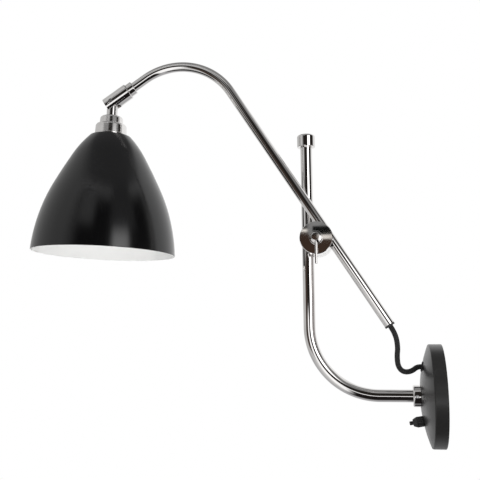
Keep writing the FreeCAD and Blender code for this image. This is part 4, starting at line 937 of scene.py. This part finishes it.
class WALL_LAMP_OT_switch(LampStep):
    """Mould the ribbed bezel of the switch and its push button"""
    bl_idname = "wall_lamp.switch"
    bl_label = "Switch"

    def make(self, sizes):
        w = sizes.switch
        seat, side, nose = dome_seat(-w.drop), w.side, w.side + w.nose
        thread, plunger, radius = w.thread / 2 + FIT, w.button / 2, w.bezel / 2
        guide = plunger + SLIDE
        bezel = outline([
            (thread, 0), (radius, 0, 0.0002), (radius, side, 0.0003), (w.tip / 2, nose, 0.0004),
            (guide, nose, 0.0003), (guide, side), (thread, side)], divide=0.0004)

        def ribs(a, s, r):
            """Round-bottomed grooves: the root of a steep ramp between two ribs, faded out
            over the last of the side, and nothing inside the bezel."""
            between = np.abs((a * w.ribs / (2 * math.pi)) % 1 - 0.5)
            valley = np.clip(1 - between * 3.4, 0, 1)
            fade = np.clip((side * 0.985 - s) / (side * 0.06), 0, 1)
            return w.rib * np.sqrt(valley) * fade * (r > radius * 0.93)

        seat_piece(carried("switch_bezel_ribbed", seat.way, bezel, w.ribs * 16, flute=ribs),
                   "wall_plate", "black_moulding", "switch_bezel")
        turned("push_button", seat, [
            (0, -w.root), (plunger, -w.root), (plunger, w.reach, 0.0007), (0, w.reach)],
            64, "button", "black_moulding", "switch_button", closed=False)


class WALL_LAMP_OT_post(LampStep):
    """Bend the chromed post and put its cap on"""
    bl_idname = "wall_lamp.post"
    bl_label = "Post"

    def make(self, sizes):
        p = sizes.post
        radius, bore = p.diameter / 2, p.diameter / 2 + FIT
        level = p.reach - p.inner_end - p.bend
        total = level + p.bend * math.pi / 2 + p.top - p.bend
        way = bent_way(wall_seat().moved(z=p.inner_end), level, p.bend, math.pi / 2, 1)
        tube = outline([(radius, 0, 0.0003), (radius, total, 0.0003), (radius - p.wall, total),
                        (radius - p.wall, 0)], divide=TUBE_STEP)
        seat_piece(carried("post_bent", way, tube), "wall_plate", "chrome", "post_tube")
        head, side, top = p.cap / 2, p.cap_side, p.cap_side + p.cap_rise
        crown = (head ** 2 + p.cap_rise ** 2) / (2 * p.cap_rise)
        turned("post_cap_domed", Seat((-p.reach, 0, p.top - p.cap_socket)), [
            (0, p.cap_socket), (bore, p.cap_socket, 0.0002), (bore, 0, 0.0002),
            (head, 0, 0.0005), (head, side, p.cap_round), (0, top, 0, crown)],
            128, "wall_plate", "chrome", "post_cap", closed=False)


class WALL_LAMP_OT_clamp(LampStep):
    """Finish the grooved discs and jaws of the clamp"""
    bl_idname = "wall_lamp.clamp"
    bl_label = "Clamp"

    def make(self, sizes):
        for node in ("clamp_rear_disc", "clamp_rear_jaw", "clamp_front_jaw",
                     "clamp_front_disc"):
            seat_piece(finished_copy(node, 0.0003), BODY_OF[node], "chrome", node)
        # The liners are trimmed flush with the discs, by a long cylinder along the screw.
        turns, far = np.linspace(0, 2 * math.pi, 128, endpoint=False), 0.05
        rim = sizes.clamp.trim / 2 * np.stack((np.cos(turns), 0 * turns, np.sin(turns)), 1)
        ends = clamp_seat().origin + ((0, far, 0), (0, -far, 0))
        cutter = mesh_object("cutter", *capped_tube(ends[:, None] + rim, ends))
        for node in ("post_liner", "arm_liner"):
            whole = finished_copy(node, 0)
            trim = whole.modifiers.new("Trim", "BOOLEAN")
            trim.operation, trim.object, trim.solver = "INTERSECT", cutter, "EXACT"
            graph = bpy.context.evaluated_depsgraph_get()
            mesh = bpy.data.meshes.new_from_object(whole.evaluated_get(graph))
            whole.modifiers.clear()
            whole.data = mesh
            seat_piece(whole, BODY_OF[node], "liner_fibre", node)
        bpy.data.objects.remove(cutter)


class WALL_LAMP_OT_clamp_key(LampStep):
    """Turn the clamp's screw with its flanged hub, and the lever pin through it"""
    bl_idname = "wall_lamp.clamp_key"
    bl_label = "Clamp key"

    def make(self, sizes):
        c = sizes.clamp
        start = c.face + GAP
        back, end, screw, hub = start + c.flange, start + c.hub_length, c.screw / 2, c.hub / 2
        turned("hub_turned", clamp_seat().frontward(), [
            (0, -c.screw_end), (screw, -c.screw_end, 0.0003), (screw, start),
            (hub, start, 0.0003), (hub, back, 0.0004), (c.shoulder / 2, back, 0.0004),
            (c.tip / 2, end, 0.0007), (0, end)],
            128, "clamp_key", "chrome", "clamp_screw", closed=False)
        radius, tip = c.lever / 2 - FIT, c.tip / 2
        turned("lever_turned", clamp_seat().moved(y=-(c.face + c.lever_setback)), [
            (0, -c.lever_reach), (radius, -c.lever_reach, 0.0006), (radius, tip, 0.0006),
            (0, tip)], 48, "clamp_key", "chrome", "lever_pin", closed=False, divide=0.004)


class WALL_LAMP_OT_arm(LampStep):
    """Bend the chromed arm and push the black bush into its lower end"""
    bl_idname = "wall_lamp.arm"
    bl_label = "Arm"

    def make(self, sizes):
        a, seat = sizes.arm, arm_seat()
        radius = a.diameter / 2 - FIT / 2       # so that it stays in the box of the solids
        level = a.tail + a.rise
        total = level + a.bend * a.turn + a.nose + a.inner_end
        tube = outline([(radius, 0, 0.0002), (radius, total, 0.0003), (radius - a.wall, total),
                        (radius - a.wall, 0, 0.0002)], divide=TUBE_STEP)
        seat_piece(carried("arm_bent", bent_way(seat, level, a.bend, a.turn, -1), tube),
                   "arm", "chrome", "arm_tube")
        bore, inside = sizes.cord.diameter / 2 + a.bush_play, radius - a.wall - FIT
        end = a.bush + a.bush_depth
        turned("arm_bush_lipped", seat.moved(z=-a.bush), [
            (a.mouth / 2, 0, 0.0004), (radius, 0, 0.0004), (radius, a.bush), (inside, a.bush),
            (inside, end), (bore, end)], 64, "arm", "cord_rubber", "arm_bush")


class WALL_LAMP_OT_knuckle(LampStep):
    """Finish the slotted knuckle and its pin, and turn the gland behind it"""
    bl_idname = "wall_lamp.knuckle"
    bl_label = "Knuckle"

    def make(self, sizes):
        k = sizes.knuckle
        for node, bevel in (("knuckle_body", 0.00025), ("pivot_pin", 0.0002)):
            seat_piece(finished_copy(node, bevel), "knuckle", "chrome", node)
        bore, thread = sizes.arm.diameter / 2 + SLIDE, k.gland_thread / 2 - FIT
        gland, start, end = k.gland / 2, k.length, k.length + k.gland_ring
        turned("gland_turned", knuckle_seat(), [
            (bore, start - k.gland_depth), (thread, start - k.gland_depth), (thread, start, 0),
            (gland, start, 0.0004), (gland, end, k.gland_round), (bore, end, 0.0003)],
            128, "knuckle", "chrome", "swivel_gland")


class WALL_LAMP_OT_gallery(LampStep):
    """Turn the shade's stem and the two rings of the gallery"""
    bl_idname = "wall_lamp.gallery"
    bl_label = "Gallery"

    def make(self, sizes):
        k = sizes.knuckle
        seat, radius, wires = shade_seat(), k.stem / 2, k.stem_bore / 2
        top, base = k.drop, k.drop + k.ring_height
        end = base + k.stem_end
        turned("stem_turned", seat, [
            (0, -radius), (radius, 0, 0, radius), (radius, end), (wires, end), (wires, radius),
            (0, radius)], 96, "lampshade", "chrome", "shade_stem", closed=False)
        fit, outer = radius + FIT, k.ring / 2
        turned("upper_ring", seat, [
            (outer - k.taper, top, k.crown), (outer, base, 0.0003), (fit, base),
            (fit, top, 0.0003)], 128, "lampshade", "chrome", "gallery_ring", skin="satin_chrome")
        cup, lip, inside = k.cup / 2, k.lip / 2, sizes.shade.holder / 2 + FIT
        floor, lower, rim = base + k.cup_floor, base + k.cup_height, shade_top()
        turned("lower_ring", seat, [
            (fit, base, 0.0003), (cup - k.taper, base, k.crown), (cup, lower, 0.0003),
            (lip, lower, 0.0006), (lip, rim, 0.0005), (inside, rim), (inside, floor),
            (fit, floor)], 160, "lampshade", "chrome", "gallery_cup", skin="satin_chrome")


class WALL_LAMP_OT_shade(LampStep):
    """Spin the shade, black outside and white inside"""
    bl_idname = "wall_lamp.shade"
    bl_label = "Shade"

    def make(self, sizes):
        h, seat, start = sizes.shade, shade_seat(), shade_top()
        wall, hole = h.wall, h.holder / 2 + FIT
        # Each stretch of the side is an arc that leaves at the slope at which the last arrived.
        stations = [(h.top / 2, 0.0), (h.shoulder / 2, h.shoulder_drop),
                    (h.waist / 2, h.waist_drop), (h.diameter / 2, h.height)]
        slopes, radii = [h.slope], []
        for (r0, z0), (r1, z1) in zip(stations, stations[1:]):
            chord, chord_slope = math.hypot(r1 - r0, z1 - z0), math.atan2(r1 - r0, z1 - z0)
            radii.append(chord / (2 * math.sin(slopes[-1] - chord_slope)))
            slopes.append(2 * chord_slope - slopes[-1])
        inside = [(r - wall * math.cos(a), z + wall * math.sin(a))
                  for (r, z), a in zip(stations, slopes)]
        centre = (stations[0][0] - radii[0] * math.cos(slopes[0]), radii[0] * math.sin(slopes[0]))
        first = centre[0] + math.sqrt((radii[0] - wall) ** 2 - (centre[1] - wall) ** 2)
        corners = [(hole, 0), (*stations[0], h.top_round)]
        corners += [(r, z, 0, radius) for (r, z), radius in zip(stations[1:3], radii)]
        corners += [(*stations[3], 0.00045, radii[2]), (*inside[3], 0.00045)]
        corners += [(*inside[2], 0, wall - radii[2]), (*inside[1], 0, wall - radii[1]),
                    (first, wall, 0.0005, wall - radii[0]), (hole, wall)]
        corners = [(c[0], start + c[1], *c[2:]) for c in corners]
        made = carried("shade_spun", seat.way, outline(corners), 256, slots=[0] * 5 + [1] * 5)
        seat_piece(made, "lampshade", "shade_enamel", "shade", extra=("shade_lining",))
        edge, under = h.ring / 2, start + wall
        turned("shade_ring_turned", seat, [
            (hole, under), (edge, under), (edge, under + h.ring_height, 0.0008),
            (hole, under + h.ring_height, 0.0004)],
            96, "lampshade", "black_moulding", "shade_ring")


class WALL_LAMP_OT_bulb(LampStep):
    """Mould the lamp holder and blow the bulb"""
    bl_idname = "wall_lamp.bulb"
    bl_label = "Bulb and holder"

    def make(self, sizes):
        h, k, seat = sizes.shade, sizes.knuckle, shade_seat()
        top = k.drop + k.ring_height + k.cup_floor + h.holder_drop
        mouth = top + h.holder_length
        outer, well, wires = h.holder / 2, h.well / 2, k.stem_bore / 2
        floor, groove, waist = mouth - h.well_depth, mouth - h.groove, outer - 0.0006
        turned("holder_moulded", seat, [
            (wires, top), (outer, top, 0.0004), (outer, groove, 0.0003),
            (waist, groove + 0.0005, 0.0003), (waist, groove + 0.0015, 0.0003),
            (outer, groove + 0.002, 0.0003), (outer, mouth, 0.0009), (well, mouth, 0.0006),
            (well, floor), (wires, floor)], 96, "lampshade", "black_moulding", "lamp_holder")
        globe, neck, wall = h.bulb / 2, h.bulb_neck / 2, GLASS
        begin, middle, end = mouth + FIT, mouth + h.bulb_length - globe, mouth + h.bulb_length
        spread, rise = globe - neck, middle - begin
        flare = (spread ** 2 + rise ** 2) / (2 * spread)
        turned("bulb_blown", seat, [
            (0, end - wall), (globe - wall, middle, 0, wall - globe),
            (neck - wall, begin, None, -flare), (neck, begin), (globe, middle, 0, flare),
            (0, end, 0, globe)], 128, "lampshade", "opal_glass", "bulb_glass", closed=False)


# The cord's control points, from its inner end in the canopy to its run inside the arm.
CORD_ROUTE = [
    (-0.0056, -0.0110, 0.0266), (-0.0090, 0.0, 0.0277), (-0.0237, 0.0, 0.0308),
    (-0.0308, -0.0046, 0.0253), (-0.0392, -0.0100, 0.0246), (-0.0448, -0.0135, 0.0300),
    (-0.0458, -0.0158, 0.0409), (-0.0445, -0.0170, 0.0504), (-0.0465, -0.0170, 0.0642),
    (-0.0572, -0.0170, 0.0811), (-0.0680, -0.0162, 0.0980), (-0.0787, -0.0174, 0.1149),
]


def cord_line():
    """Points read from the route's NURBS spline, and the arc length at each."""
    data = bpy.data.curves.new("cord_line", "CURVE")
    data.dimensions = "3D"
    spline = data.splines.new("NURBS")
    spline.points.add(len(CORD_ROUTE) - 1)
    for point, place in zip(spline.points, CORD_ROUTE):
        point.co = (*place, 1.0)
    spline.order_u = 3
    spline.use_endpoint_u = True
    spline.resolution_u = 24
    holder = bpy.data.objects.new("cord_line", data)
    bpy.context.scene.collection.objects.link(holder)
    bpy.context.view_layer.update()
    line = bpy.data.meshes.new_from_object(
        holder.evaluated_get(bpy.context.evaluated_depsgraph_get()))
    places = np.zeros(len(line.vertices) * 3, np.float32)
    line.vertices.foreach_get("co", places)
    bpy.data.objects.remove(holder)
    bpy.data.meshes.remove(line)
    places = places.reshape(-1, 3).astype(float)
    steps = np.linalg.norm(np.diff(places, axis=0), axis=1)
    keep = np.append(True, steps > 1e-7)
    places = places[keep]
    return places, np.append(0, np.cumsum(np.linalg.norm(np.diff(places, axis=0), axis=1)))


def along_line(s, places, lengths):
    """The points of a line at arc lengths."""
    return np.stack([np.interp(s, lengths, axis) for axis in places.T], -1)


def cord_tube(name, places, lengths, first, last, radius, around=40):
    """A tube of the cord between two arc lengths, and the points that it follows.

    Rings stand square to the line; their side axis is a fixed direction made square to the
    heading, turned back by the sum of its twist, so that the braid doesn't wind up.
    """
    s = np.linspace(first, last, int((last - first) / CORD_STEP) + 1)
    centres = along_line(s, places, lengths)
    heading = unit(np.gradient(centres, s, axis=0))
    steady = np.array((0.55, 0.35, -0.76))
    side = unit(steady - (heading @ steady)[:, None] * heading)
    other = np.cross(heading, side)
    twist = np.append(0, np.cumsum(np.einsum("ij,ij->i", np.diff(side, axis=0), other[1:])))
    angles = np.linspace(0, 2 * math.pi, around, endpoint=False) - twist[:, None]
    rings = (side[:, None] * np.cos(angles)[:, :, None]
             + other[:, None] * np.sin(angles)[:, :, None])
    points, faces = capped_tube(centres[:, None] + radius * rings, centres[[0, -1]])
    lids = np.repeat([[0.5, first], [0.5, last]], around, 0)[:, None] + np.zeros((1, 4, 1))
    uv = np.concatenate((grid_uv(np.linspace(0, 1, around + 1), s), lids))
    return mesh_object(name, points, faces, None, uv), centres


class WALL_LAMP_OT_cord(LampStep):
    """Lay the braided cord from the canopy's port into the arm, and fit its grommet"""
    bl_idname = "wall_lamp.cord"
    bl_label = "Cord"

    def make(self, sizes):
        c = sizes.cord
        places, lengths = cord_line()
        radius = c.diameter / 2

        def nearest(point):
            """The arc length at which the cord passes a point."""
            return lengths[np.argmin(np.linalg.norm(places - point, axis=1))]

        leave = nearest(dome_seat(c.port).moved(z=c.lip + GAP).origin)
        enter = nearest(arm_seat().moved(z=-sizes.arm.bush).origin) - c.straight
        joins = [0.0, c.first, c.first + c.second, float(lengths[-1])]
        bends = [(leave, joins[1]), (joins[1], joins[2]), (joins[2], enter)]
        for number, bend in enumerate(bends):
            made, line = cord_tube(f"cord_stretch_{number + 1}", places, lengths, joins[number],
                                   joins[number + 1], radius)
            made.data.materials.append(finish("cord_fabric"))
            first, last = along_line(bend, places, lengths)
            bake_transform(made)
            tuple(line[0])
            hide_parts("flex_cord")
        bore, neck, flange = radius + c.play, c.grommet / 2 - FIT, c.grommet / 2 + c.flange
        sag = flange ** 2 / (2 * dome()[0])     # of the dome across the flange
        deep = c.lip + sizes.canopy.wall + sag
        turned("grommet_moulded", dome_seat(c.port).moved(z=-deep), [
            (bore, 0), (flange, 0, 0.0003), (flange, c.lip, 0.0002), (neck, c.lip), (neck, deep),
            (flange, deep), (flange, deep + c.lip, 0.0004), (bore, deep + c.lip, 0.0004)],
            64, "wall_plate", "cord_rubber", "cord_grommet")


class WALL_LAMP_OT_fittings(LampStep):
    """Finish the bracket, nuts, screws and other fittings that stay as the model has them"""
    bl_idname = "wall_lamp.fittings"
    bl_label = "Fittings"

    def make(self, sizes):
        bevels = {"wall_bracket": 0.0003, "terminal_block": 0.0004, "tube_locknut": 0.0003,
                  "stem_nut": 0.0003, "switch_body": 0.0003, "earth_screw": 0.0002}
        for node, width in bevels.items():
            seat_piece(finished_copy(node, width), BODY_OF[node], SLOT_OF[node], node)
        for node, made in frame["nodes"].items():
            for holder in made.material_slots:
                holder.material = finish(SLOT_OF[node])
            if not made.material_slots:
                made.data.materials.append(finish(SLOT_OF[node]))


# ---------------------------------------------------------------------------------------------
# Studio
# ---------------------------------------------------------------------------------------------
MIDDLE = np.array((-0.2, 0.0, 0.16))        # of the lamp, which the studio stands round
EYE = (-0.0786, -0.7618, 0.0628)
YAW, PITCH, ROLL = (math.radians(v) for v in (-9.9, 7.8, 0.35))
LENS, SENSOR = 52.5, 36.0
FLOOR = -0.42


def grey(value):
    return value, value, value


# Each card: name, left, right, low and high edge in degrees, distance, colour, the degrees
# over which the left, right, low and high edge fade, and its strength where that isn't 1.
CARDS = (
    ("tent_left", -170, -24, -80, 82, 1.7, (0.60, 0.60, 0.595), (20, 52, 5, 12)),
    ("tent_top", -180, 180, 48, 90, 1.65, grey(0.27), (0.1, 0.1, 12, 0.1)),
    ("tent_below", -180, 180, -90, -58, 1.65, (0.50, 0.50, 0.51), (0.1, 0.1, 0.1, 8)),
    ("tent_below_back", 95, 265, -90, -18, 1.6, (0.50, 0.50, 0.51), (15, 15, 5, 10)),
    ("dark_front", -66, 104, -12, 56, 1.5, (0.020, 0.017, 0.015), (34, 22, 5, 16)),
    ("tent_high", -52, -10, 22, 56, 1.45, grey(0.56), (18, 12, 9, 14)),
    ("grey_right", 46, 108, -36, 10, 1.4, (0.34, 0.315, 0.31), (4, 8, 8, 6)),
    ("panel_faint", 8, 66, 18, 64, 1.38, grey(0.24), (12, 12, 10, 10)),
    ("panel_white", 12, 48, -16, 30, 1.3, grey(1.0), (9, 7, 2, 14), 3.2),
    ("paper_low", -12, 50, -68, -9, 1.2, grey(1.0), (5, 8, 10, 6), 1.25),
    ("paper_left", -36, -7, -68, 0, 1.19, grey(1.0), (6, 5, 10, 3), 1.25),
    ("dark_low", -80, -32, -26, 9, 1.15, (0.060, 0.042, 0.033), (16, 6, 10, 5)),
    # What the clamp's flat disc mirrors
    ("brown_low", -13.5, -6.0, 3.0, 9.8, 1.12, (0.052, 0.032, 0.023), (1, 1, 1, 0.7)),
    ("grey_high", -13.0, -6.4, 8.9, 11.5, 1.11, grey(0.26), (1, 1, 0.4, 1)),
    ("black_patch", -10.2, -7.2, 8.1, 9.7, 1.10, grey(0.006), (0.3, 0.3, 0.2, 0.3)),
    ("black_side", -12.8, -10.4, 8.9, 9.9, 1.10, (0.014, 0.013, 0.012), (0.5, 0.3, 0.2, 0.3)),
    ("cream_left", -12.9, -10.3, 8.75, 9.25, 1.09, (1.0, 0.96, 0.90), (0.3, 0.4, 0.15, 0.15),
     1.1),
    ("cream_right", -9.4, -7.0, 7.70, 8.45, 1.09, (0.92, 0.88, 0.83), (0.4, 0.3, 0.2, 0.2)),
    ("grey_middle", -10.7, -9.8, 8.2, 10.6, 1.08, grey(0.24), (0.2, 0.2, 0.5, 0.5)),
)

# Each light: name, azimuth and elevation in degrees, distance, width and height, and watts.
LIGHTS = (
    ("light_right", 48, 28, 2.0, (1.2, 1.4), 17),
    ("light_left", -95, 22, 2.0, (1.6, 1.4), 13),
    ("light_top", 0, 80, 1.8, (1.4, 1.4), 8),
    ("light_low", 12, -38, 1.6, (1.6, 1.0), 24),
)


def outward(azimuth, elevation):
    """Directions at azimuths from the camera's side to the picture's right, and elevations.

    Both are in degrees; the direction is (cos e sin a, -cos e cos a, sin e), where a is the
    azimuth less the camera's yaw.
    """
    a, e = np.broadcast_arrays(np.radians(azimuth) - YAW, np.radians(elevation))
    return np.stack((np.cos(e) * np.sin(a), -np.cos(e) * np.cos(a), np.sin(e)), -1)


def glow(name, colour, strength, fades):
    """A light-giving material that only reflections see; it thins out towards its edges.

    fades is the share of the card that each edge fades over: left, right, low and high.
    """
    made = bpy.data.materials.new(name)
    tree = fresh_tree(made)
    where = tree.add("ShaderNodeUVMap", uv_map=UV_MAP)
    across, up = tree.node("ShaderNodeSeparateXYZ", {0: where}).outputs[:2]
    left, right, low, high = fades
    masks = [tree.spread(across, 0.0, left), tree.spread(across, 1.0 - right, 1.0, 1.0, 0.0),
             tree.spread(up, 0.0, low), tree.spread(up, 1.0 - high, 1.0, 1.0, 0.0)]
    mask = tree.maths("MULTIPLY", tree.maths("MULTIPLY", *masks[:2]),
                      tree.maths("MULTIPLY", *masks[2:]))
    light = tree.add("ShaderNodeEmission", {"Color": (*colour, 1), "Strength": strength})
    clear = tree.add("ShaderNodeBsdfTransparent")
    both = tree.add("ShaderNodeMixShader", {0: mask, 1: clear, 2: light})
    tree.node("ShaderNodeOutputMaterial", {"Surface": both})
    return made


def sheet(name, grid, across, up, skin):
    """A grid of points as a card that only reflections see."""
    faces = grid_faces(np.arange(grid.size // 3).reshape(grid.shape[:2]).T)
    flat = np.stack(np.meshgrid(across, up), 2).reshape(-1, 2)
    made = mesh_object(name, grid.reshape(-1, 3), faces, None, flat[faces])
    made.data.materials.append(skin)
    made.visible_camera = made.visible_diffuse = made.visible_shadow = False
    made.visible_transmission = made.visible_volume_scatter = False


def card(name, left, right, low, high, distance, colour, soft, strength=1.0):
    """A card in the room: a patch of a sphere round the lamp, with soft edges."""
    across, up = np.linspace(0, 1, 25), np.linspace(0, 1, 13)
    around = outward(left + (right - left) * across, (low + (high - low) * up)[:, None])
    fades = np.array(soft) / np.repeat((right - left, high - low), 2)
    sheet(name, MIDDLE + distance * around, across, up,
          glow(name, colour, strength, fades.tolist()))


def put(kind, data, side, up, back, where):
    """Link a camera or light at a point, turned to three axes."""
    made = bpy.data.objects.new(kind, data)
    pose = np.eye(4)
    pose[:3] = np.stack((side, up, back, where), 1)
    made.matrix_world = Matrix(pose.tolist())
    bpy.context.scene.collection.objects.link(made)
    return made


def lamp_light(name, azimuth, elevation, distance, size, power):
    """A soft area light aimed at the lamp's middle."""
    data = bpy.data.lights.new(name, "AREA")
    data.shape, data.size, data.size_y, data.energy = "RECTANGLE", *size, power
    out = outward(azimuth, elevation)
    side = unit(np.cross((0, 0, 1), out))
    made = put(name, data, side, np.cross(out, side), out, MIDDLE + out * distance)
    made.visible_glossy = False


def seen_plainly(tree):
    """1 for rays from the camera, off metal and through glass, and 0 for the rest."""
    ray = tree.node("ShaderNodeLightPath").outputs
    seen = tree.maths("MAXIMUM", ray["Is Camera Ray"], ray["Is Glossy Ray"])
    return tree.maths("MAXIMUM", seen, ray["Is Transmission Ray"])


class WALL_LAMP_OT_studio(LampStep):
    """Set the pale floor, the soft light, the cards that the chrome mirrors, and the camera"""
    bl_idname = "wall_lamp.studio"
    bl_label = "Studio"

    def make(self, sizes):
        self.floor()
        self.room()
        for numbers in CARDS:
            card(*numbers)
        self.dark_below()
        for numbers in LIGHTS:
            lamp_light(*numbers)
        self.camera()
        bpy.context.scene.view_settings.view_transform = "Standard"

    def floor(self, rings=9, around=64, reach=9.0):
        """The floor is a disc; away from the lamp it fades to the white of the background."""
        radii = np.linspace(0, 1, rings)[:, None] ** 1.5 * reach
        turns = np.linspace(0, 2 * math.pi, around, endpoint=False)
        grid = np.stack((radii * np.cos(turns), radii * np.sin(turns),
                         np.full((rings, around), FLOOR)), 2)
        index = np.arange(rings * around).reshape(rings, around)
        index[0] = 0
        made = mesh_object("floor", grid.reshape(-1, 3),
                           grid_faces(np.hstack((index, index[:, :1])).T))
        skin = bpy.data.materials.new("floor_paper")
        tree = fresh_tree(skin)
        away = tree.add("ShaderNodeVectorMath", {
            0: tree.add("ShaderNodeTexCoord", output="Object"), 1: (MIDDLE[0], 0, FLOOR)},
            output="Value", operation="DISTANCE")
        paper = tree.add("ShaderNodeBsdfPrincipled", {
            "Base Color": (*grey(0.86), 1), "Roughness": 0.9, "Specular IOR Level": 0.2})
        white = tree.add("ShaderNodeEmission", {"Color": (*grey(1.0), 1), "Strength": 1.0})
        fade = tree.maths("MULTIPLY", tree.spread(away, 0.5, 1.6), seen_plainly(tree))
        both = tree.add("ShaderNodeMixShader", {0: fade, 1: paper, 2: white})
        tree.node("ShaderNodeOutputMaterial", {"Surface": both})
        made.data.materials.append(skin)
        made.visible_glossy = made.visible_shadow = False

    def room(self):
        """White to the camera, to glass and to metal; a softer grey lights the lamp."""
        world = bpy.data.worlds.new("studio")
        bpy.context.scene.world = world
        tree = fresh_tree(world)
        strength = tree.maths("MULTIPLY_ADD", seen_plainly(tree), 0.55, 0.45)
        light = tree.add("ShaderNodeBackground", {"Color": (*grey(1.0), 1),
                                                  "Strength": strength})
        tree.node("ShaderNodeOutputWorld", {"Surface": light})

    def dark_below(self):
        """A dark sheet on the near side below the lamp, level in the room."""
        across, up = np.linspace(0, 1, 5), np.linspace(0, 1, 5)
        x, y = np.meshgrid(-0.24 + 0.5 * across, -1.30 + 1.36 * up)
        sheet("dark_below", np.stack((x, y, np.full_like(x, -0.25)), 2), across, up,
              glow("dark_below", (0.012, 0.010, 0.010), 1.0, (0.15, 0.15, 0.12, 0.1)))

    def camera(self):
        """The photograph's viewpoint, looking up a little from below the clamp."""
        ahead = np.array((math.sin(YAW) * math.cos(PITCH), math.cos(YAW) * math.cos(PITCH),
                          math.sin(PITCH)))
        right = unit(np.cross(ahead, (0, 0, 1)))
        up = np.cross(right, ahead)
        c, s = math.cos(ROLL), math.sin(ROLL)
        data = bpy.data.cameras.new("camera")
        data.lens, data.sensor_width = LENS, SENSOR
        bpy.context.scene.camera = put("camera", data, c * right - s * up, s * right + c * up,
                                       -ahead, EYE)


class WALL_LAMP_PT_panel(bpy.types.Panel):
    """The wall lamp's steps and sizes"""
    bl_idname = "WALL_LAMP_PT_panel"
    bl_label = "Wall Lamp"
    bl_space_type = "VIEW_3D"
    bl_region_type = "UI"
    bl_category = "Wall Lamp"

    def draw(self, context):
        column = self.layout.column(align=True)
        for step in STEPS:
            column.operator(step.bl_idname)
        for group in GROUPS[:-1]:
            label = next(key for key, kind in WallLamp.__annotations__.items()
                         if kind.keywords["type"] is group)
            box = self.layout.box()
            box.label(text=label.capitalize())
            for key in group.__annotations__:
                box.prop(getattr(context.scene.wall_lamp, label), key)


STEPS = (WALL_LAMP_OT_canopy, WALL_LAMP_OT_switch, WALL_LAMP_OT_post, WALL_LAMP_OT_clamp,
         WALL_LAMP_OT_clamp_key, WALL_LAMP_OT_arm, WALL_LAMP_OT_knuckle, WALL_LAMP_OT_gallery,
         WALL_LAMP_OT_shade, WALL_LAMP_OT_bulb, WALL_LAMP_OT_cord, WALL_LAMP_OT_fittings,
         WALL_LAMP_OT_studio)
GROUPS = (CanopySizes, SwitchSizes, PostSizes, ClampSizes, ArmSizes, KnuckleSizes, ShadeSizes,
          CordSizes, Finishes, WallLamp)


def register():
    for group in GROUPS:
        bpy.utils.register_class(group)
    bpy.types.Scene.wall_lamp = PointerProperty(type=WallLamp)
    for step in STEPS:
        bpy.utils.register_class(step)
    bpy.utils.register_class(WALL_LAMP_PT_panel)


def unregister():
    bpy.utils.unregister_class(WALL_LAMP_PT_panel)
    for step in reversed(STEPS):
        bpy.utils.unregister_class(step)
    del bpy.types.Scene.wall_lamp
    for group in reversed(GROUPS):
        bpy.utils.unregister_class(group)


def main():
    """Register the add-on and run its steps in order."""
    register()
    for step in STEPS:
        group, name = step.bl_idname.split(".")
        getattr(getattr(bpy.ops, group), name)()


if __name__ == "__main__":
    main()
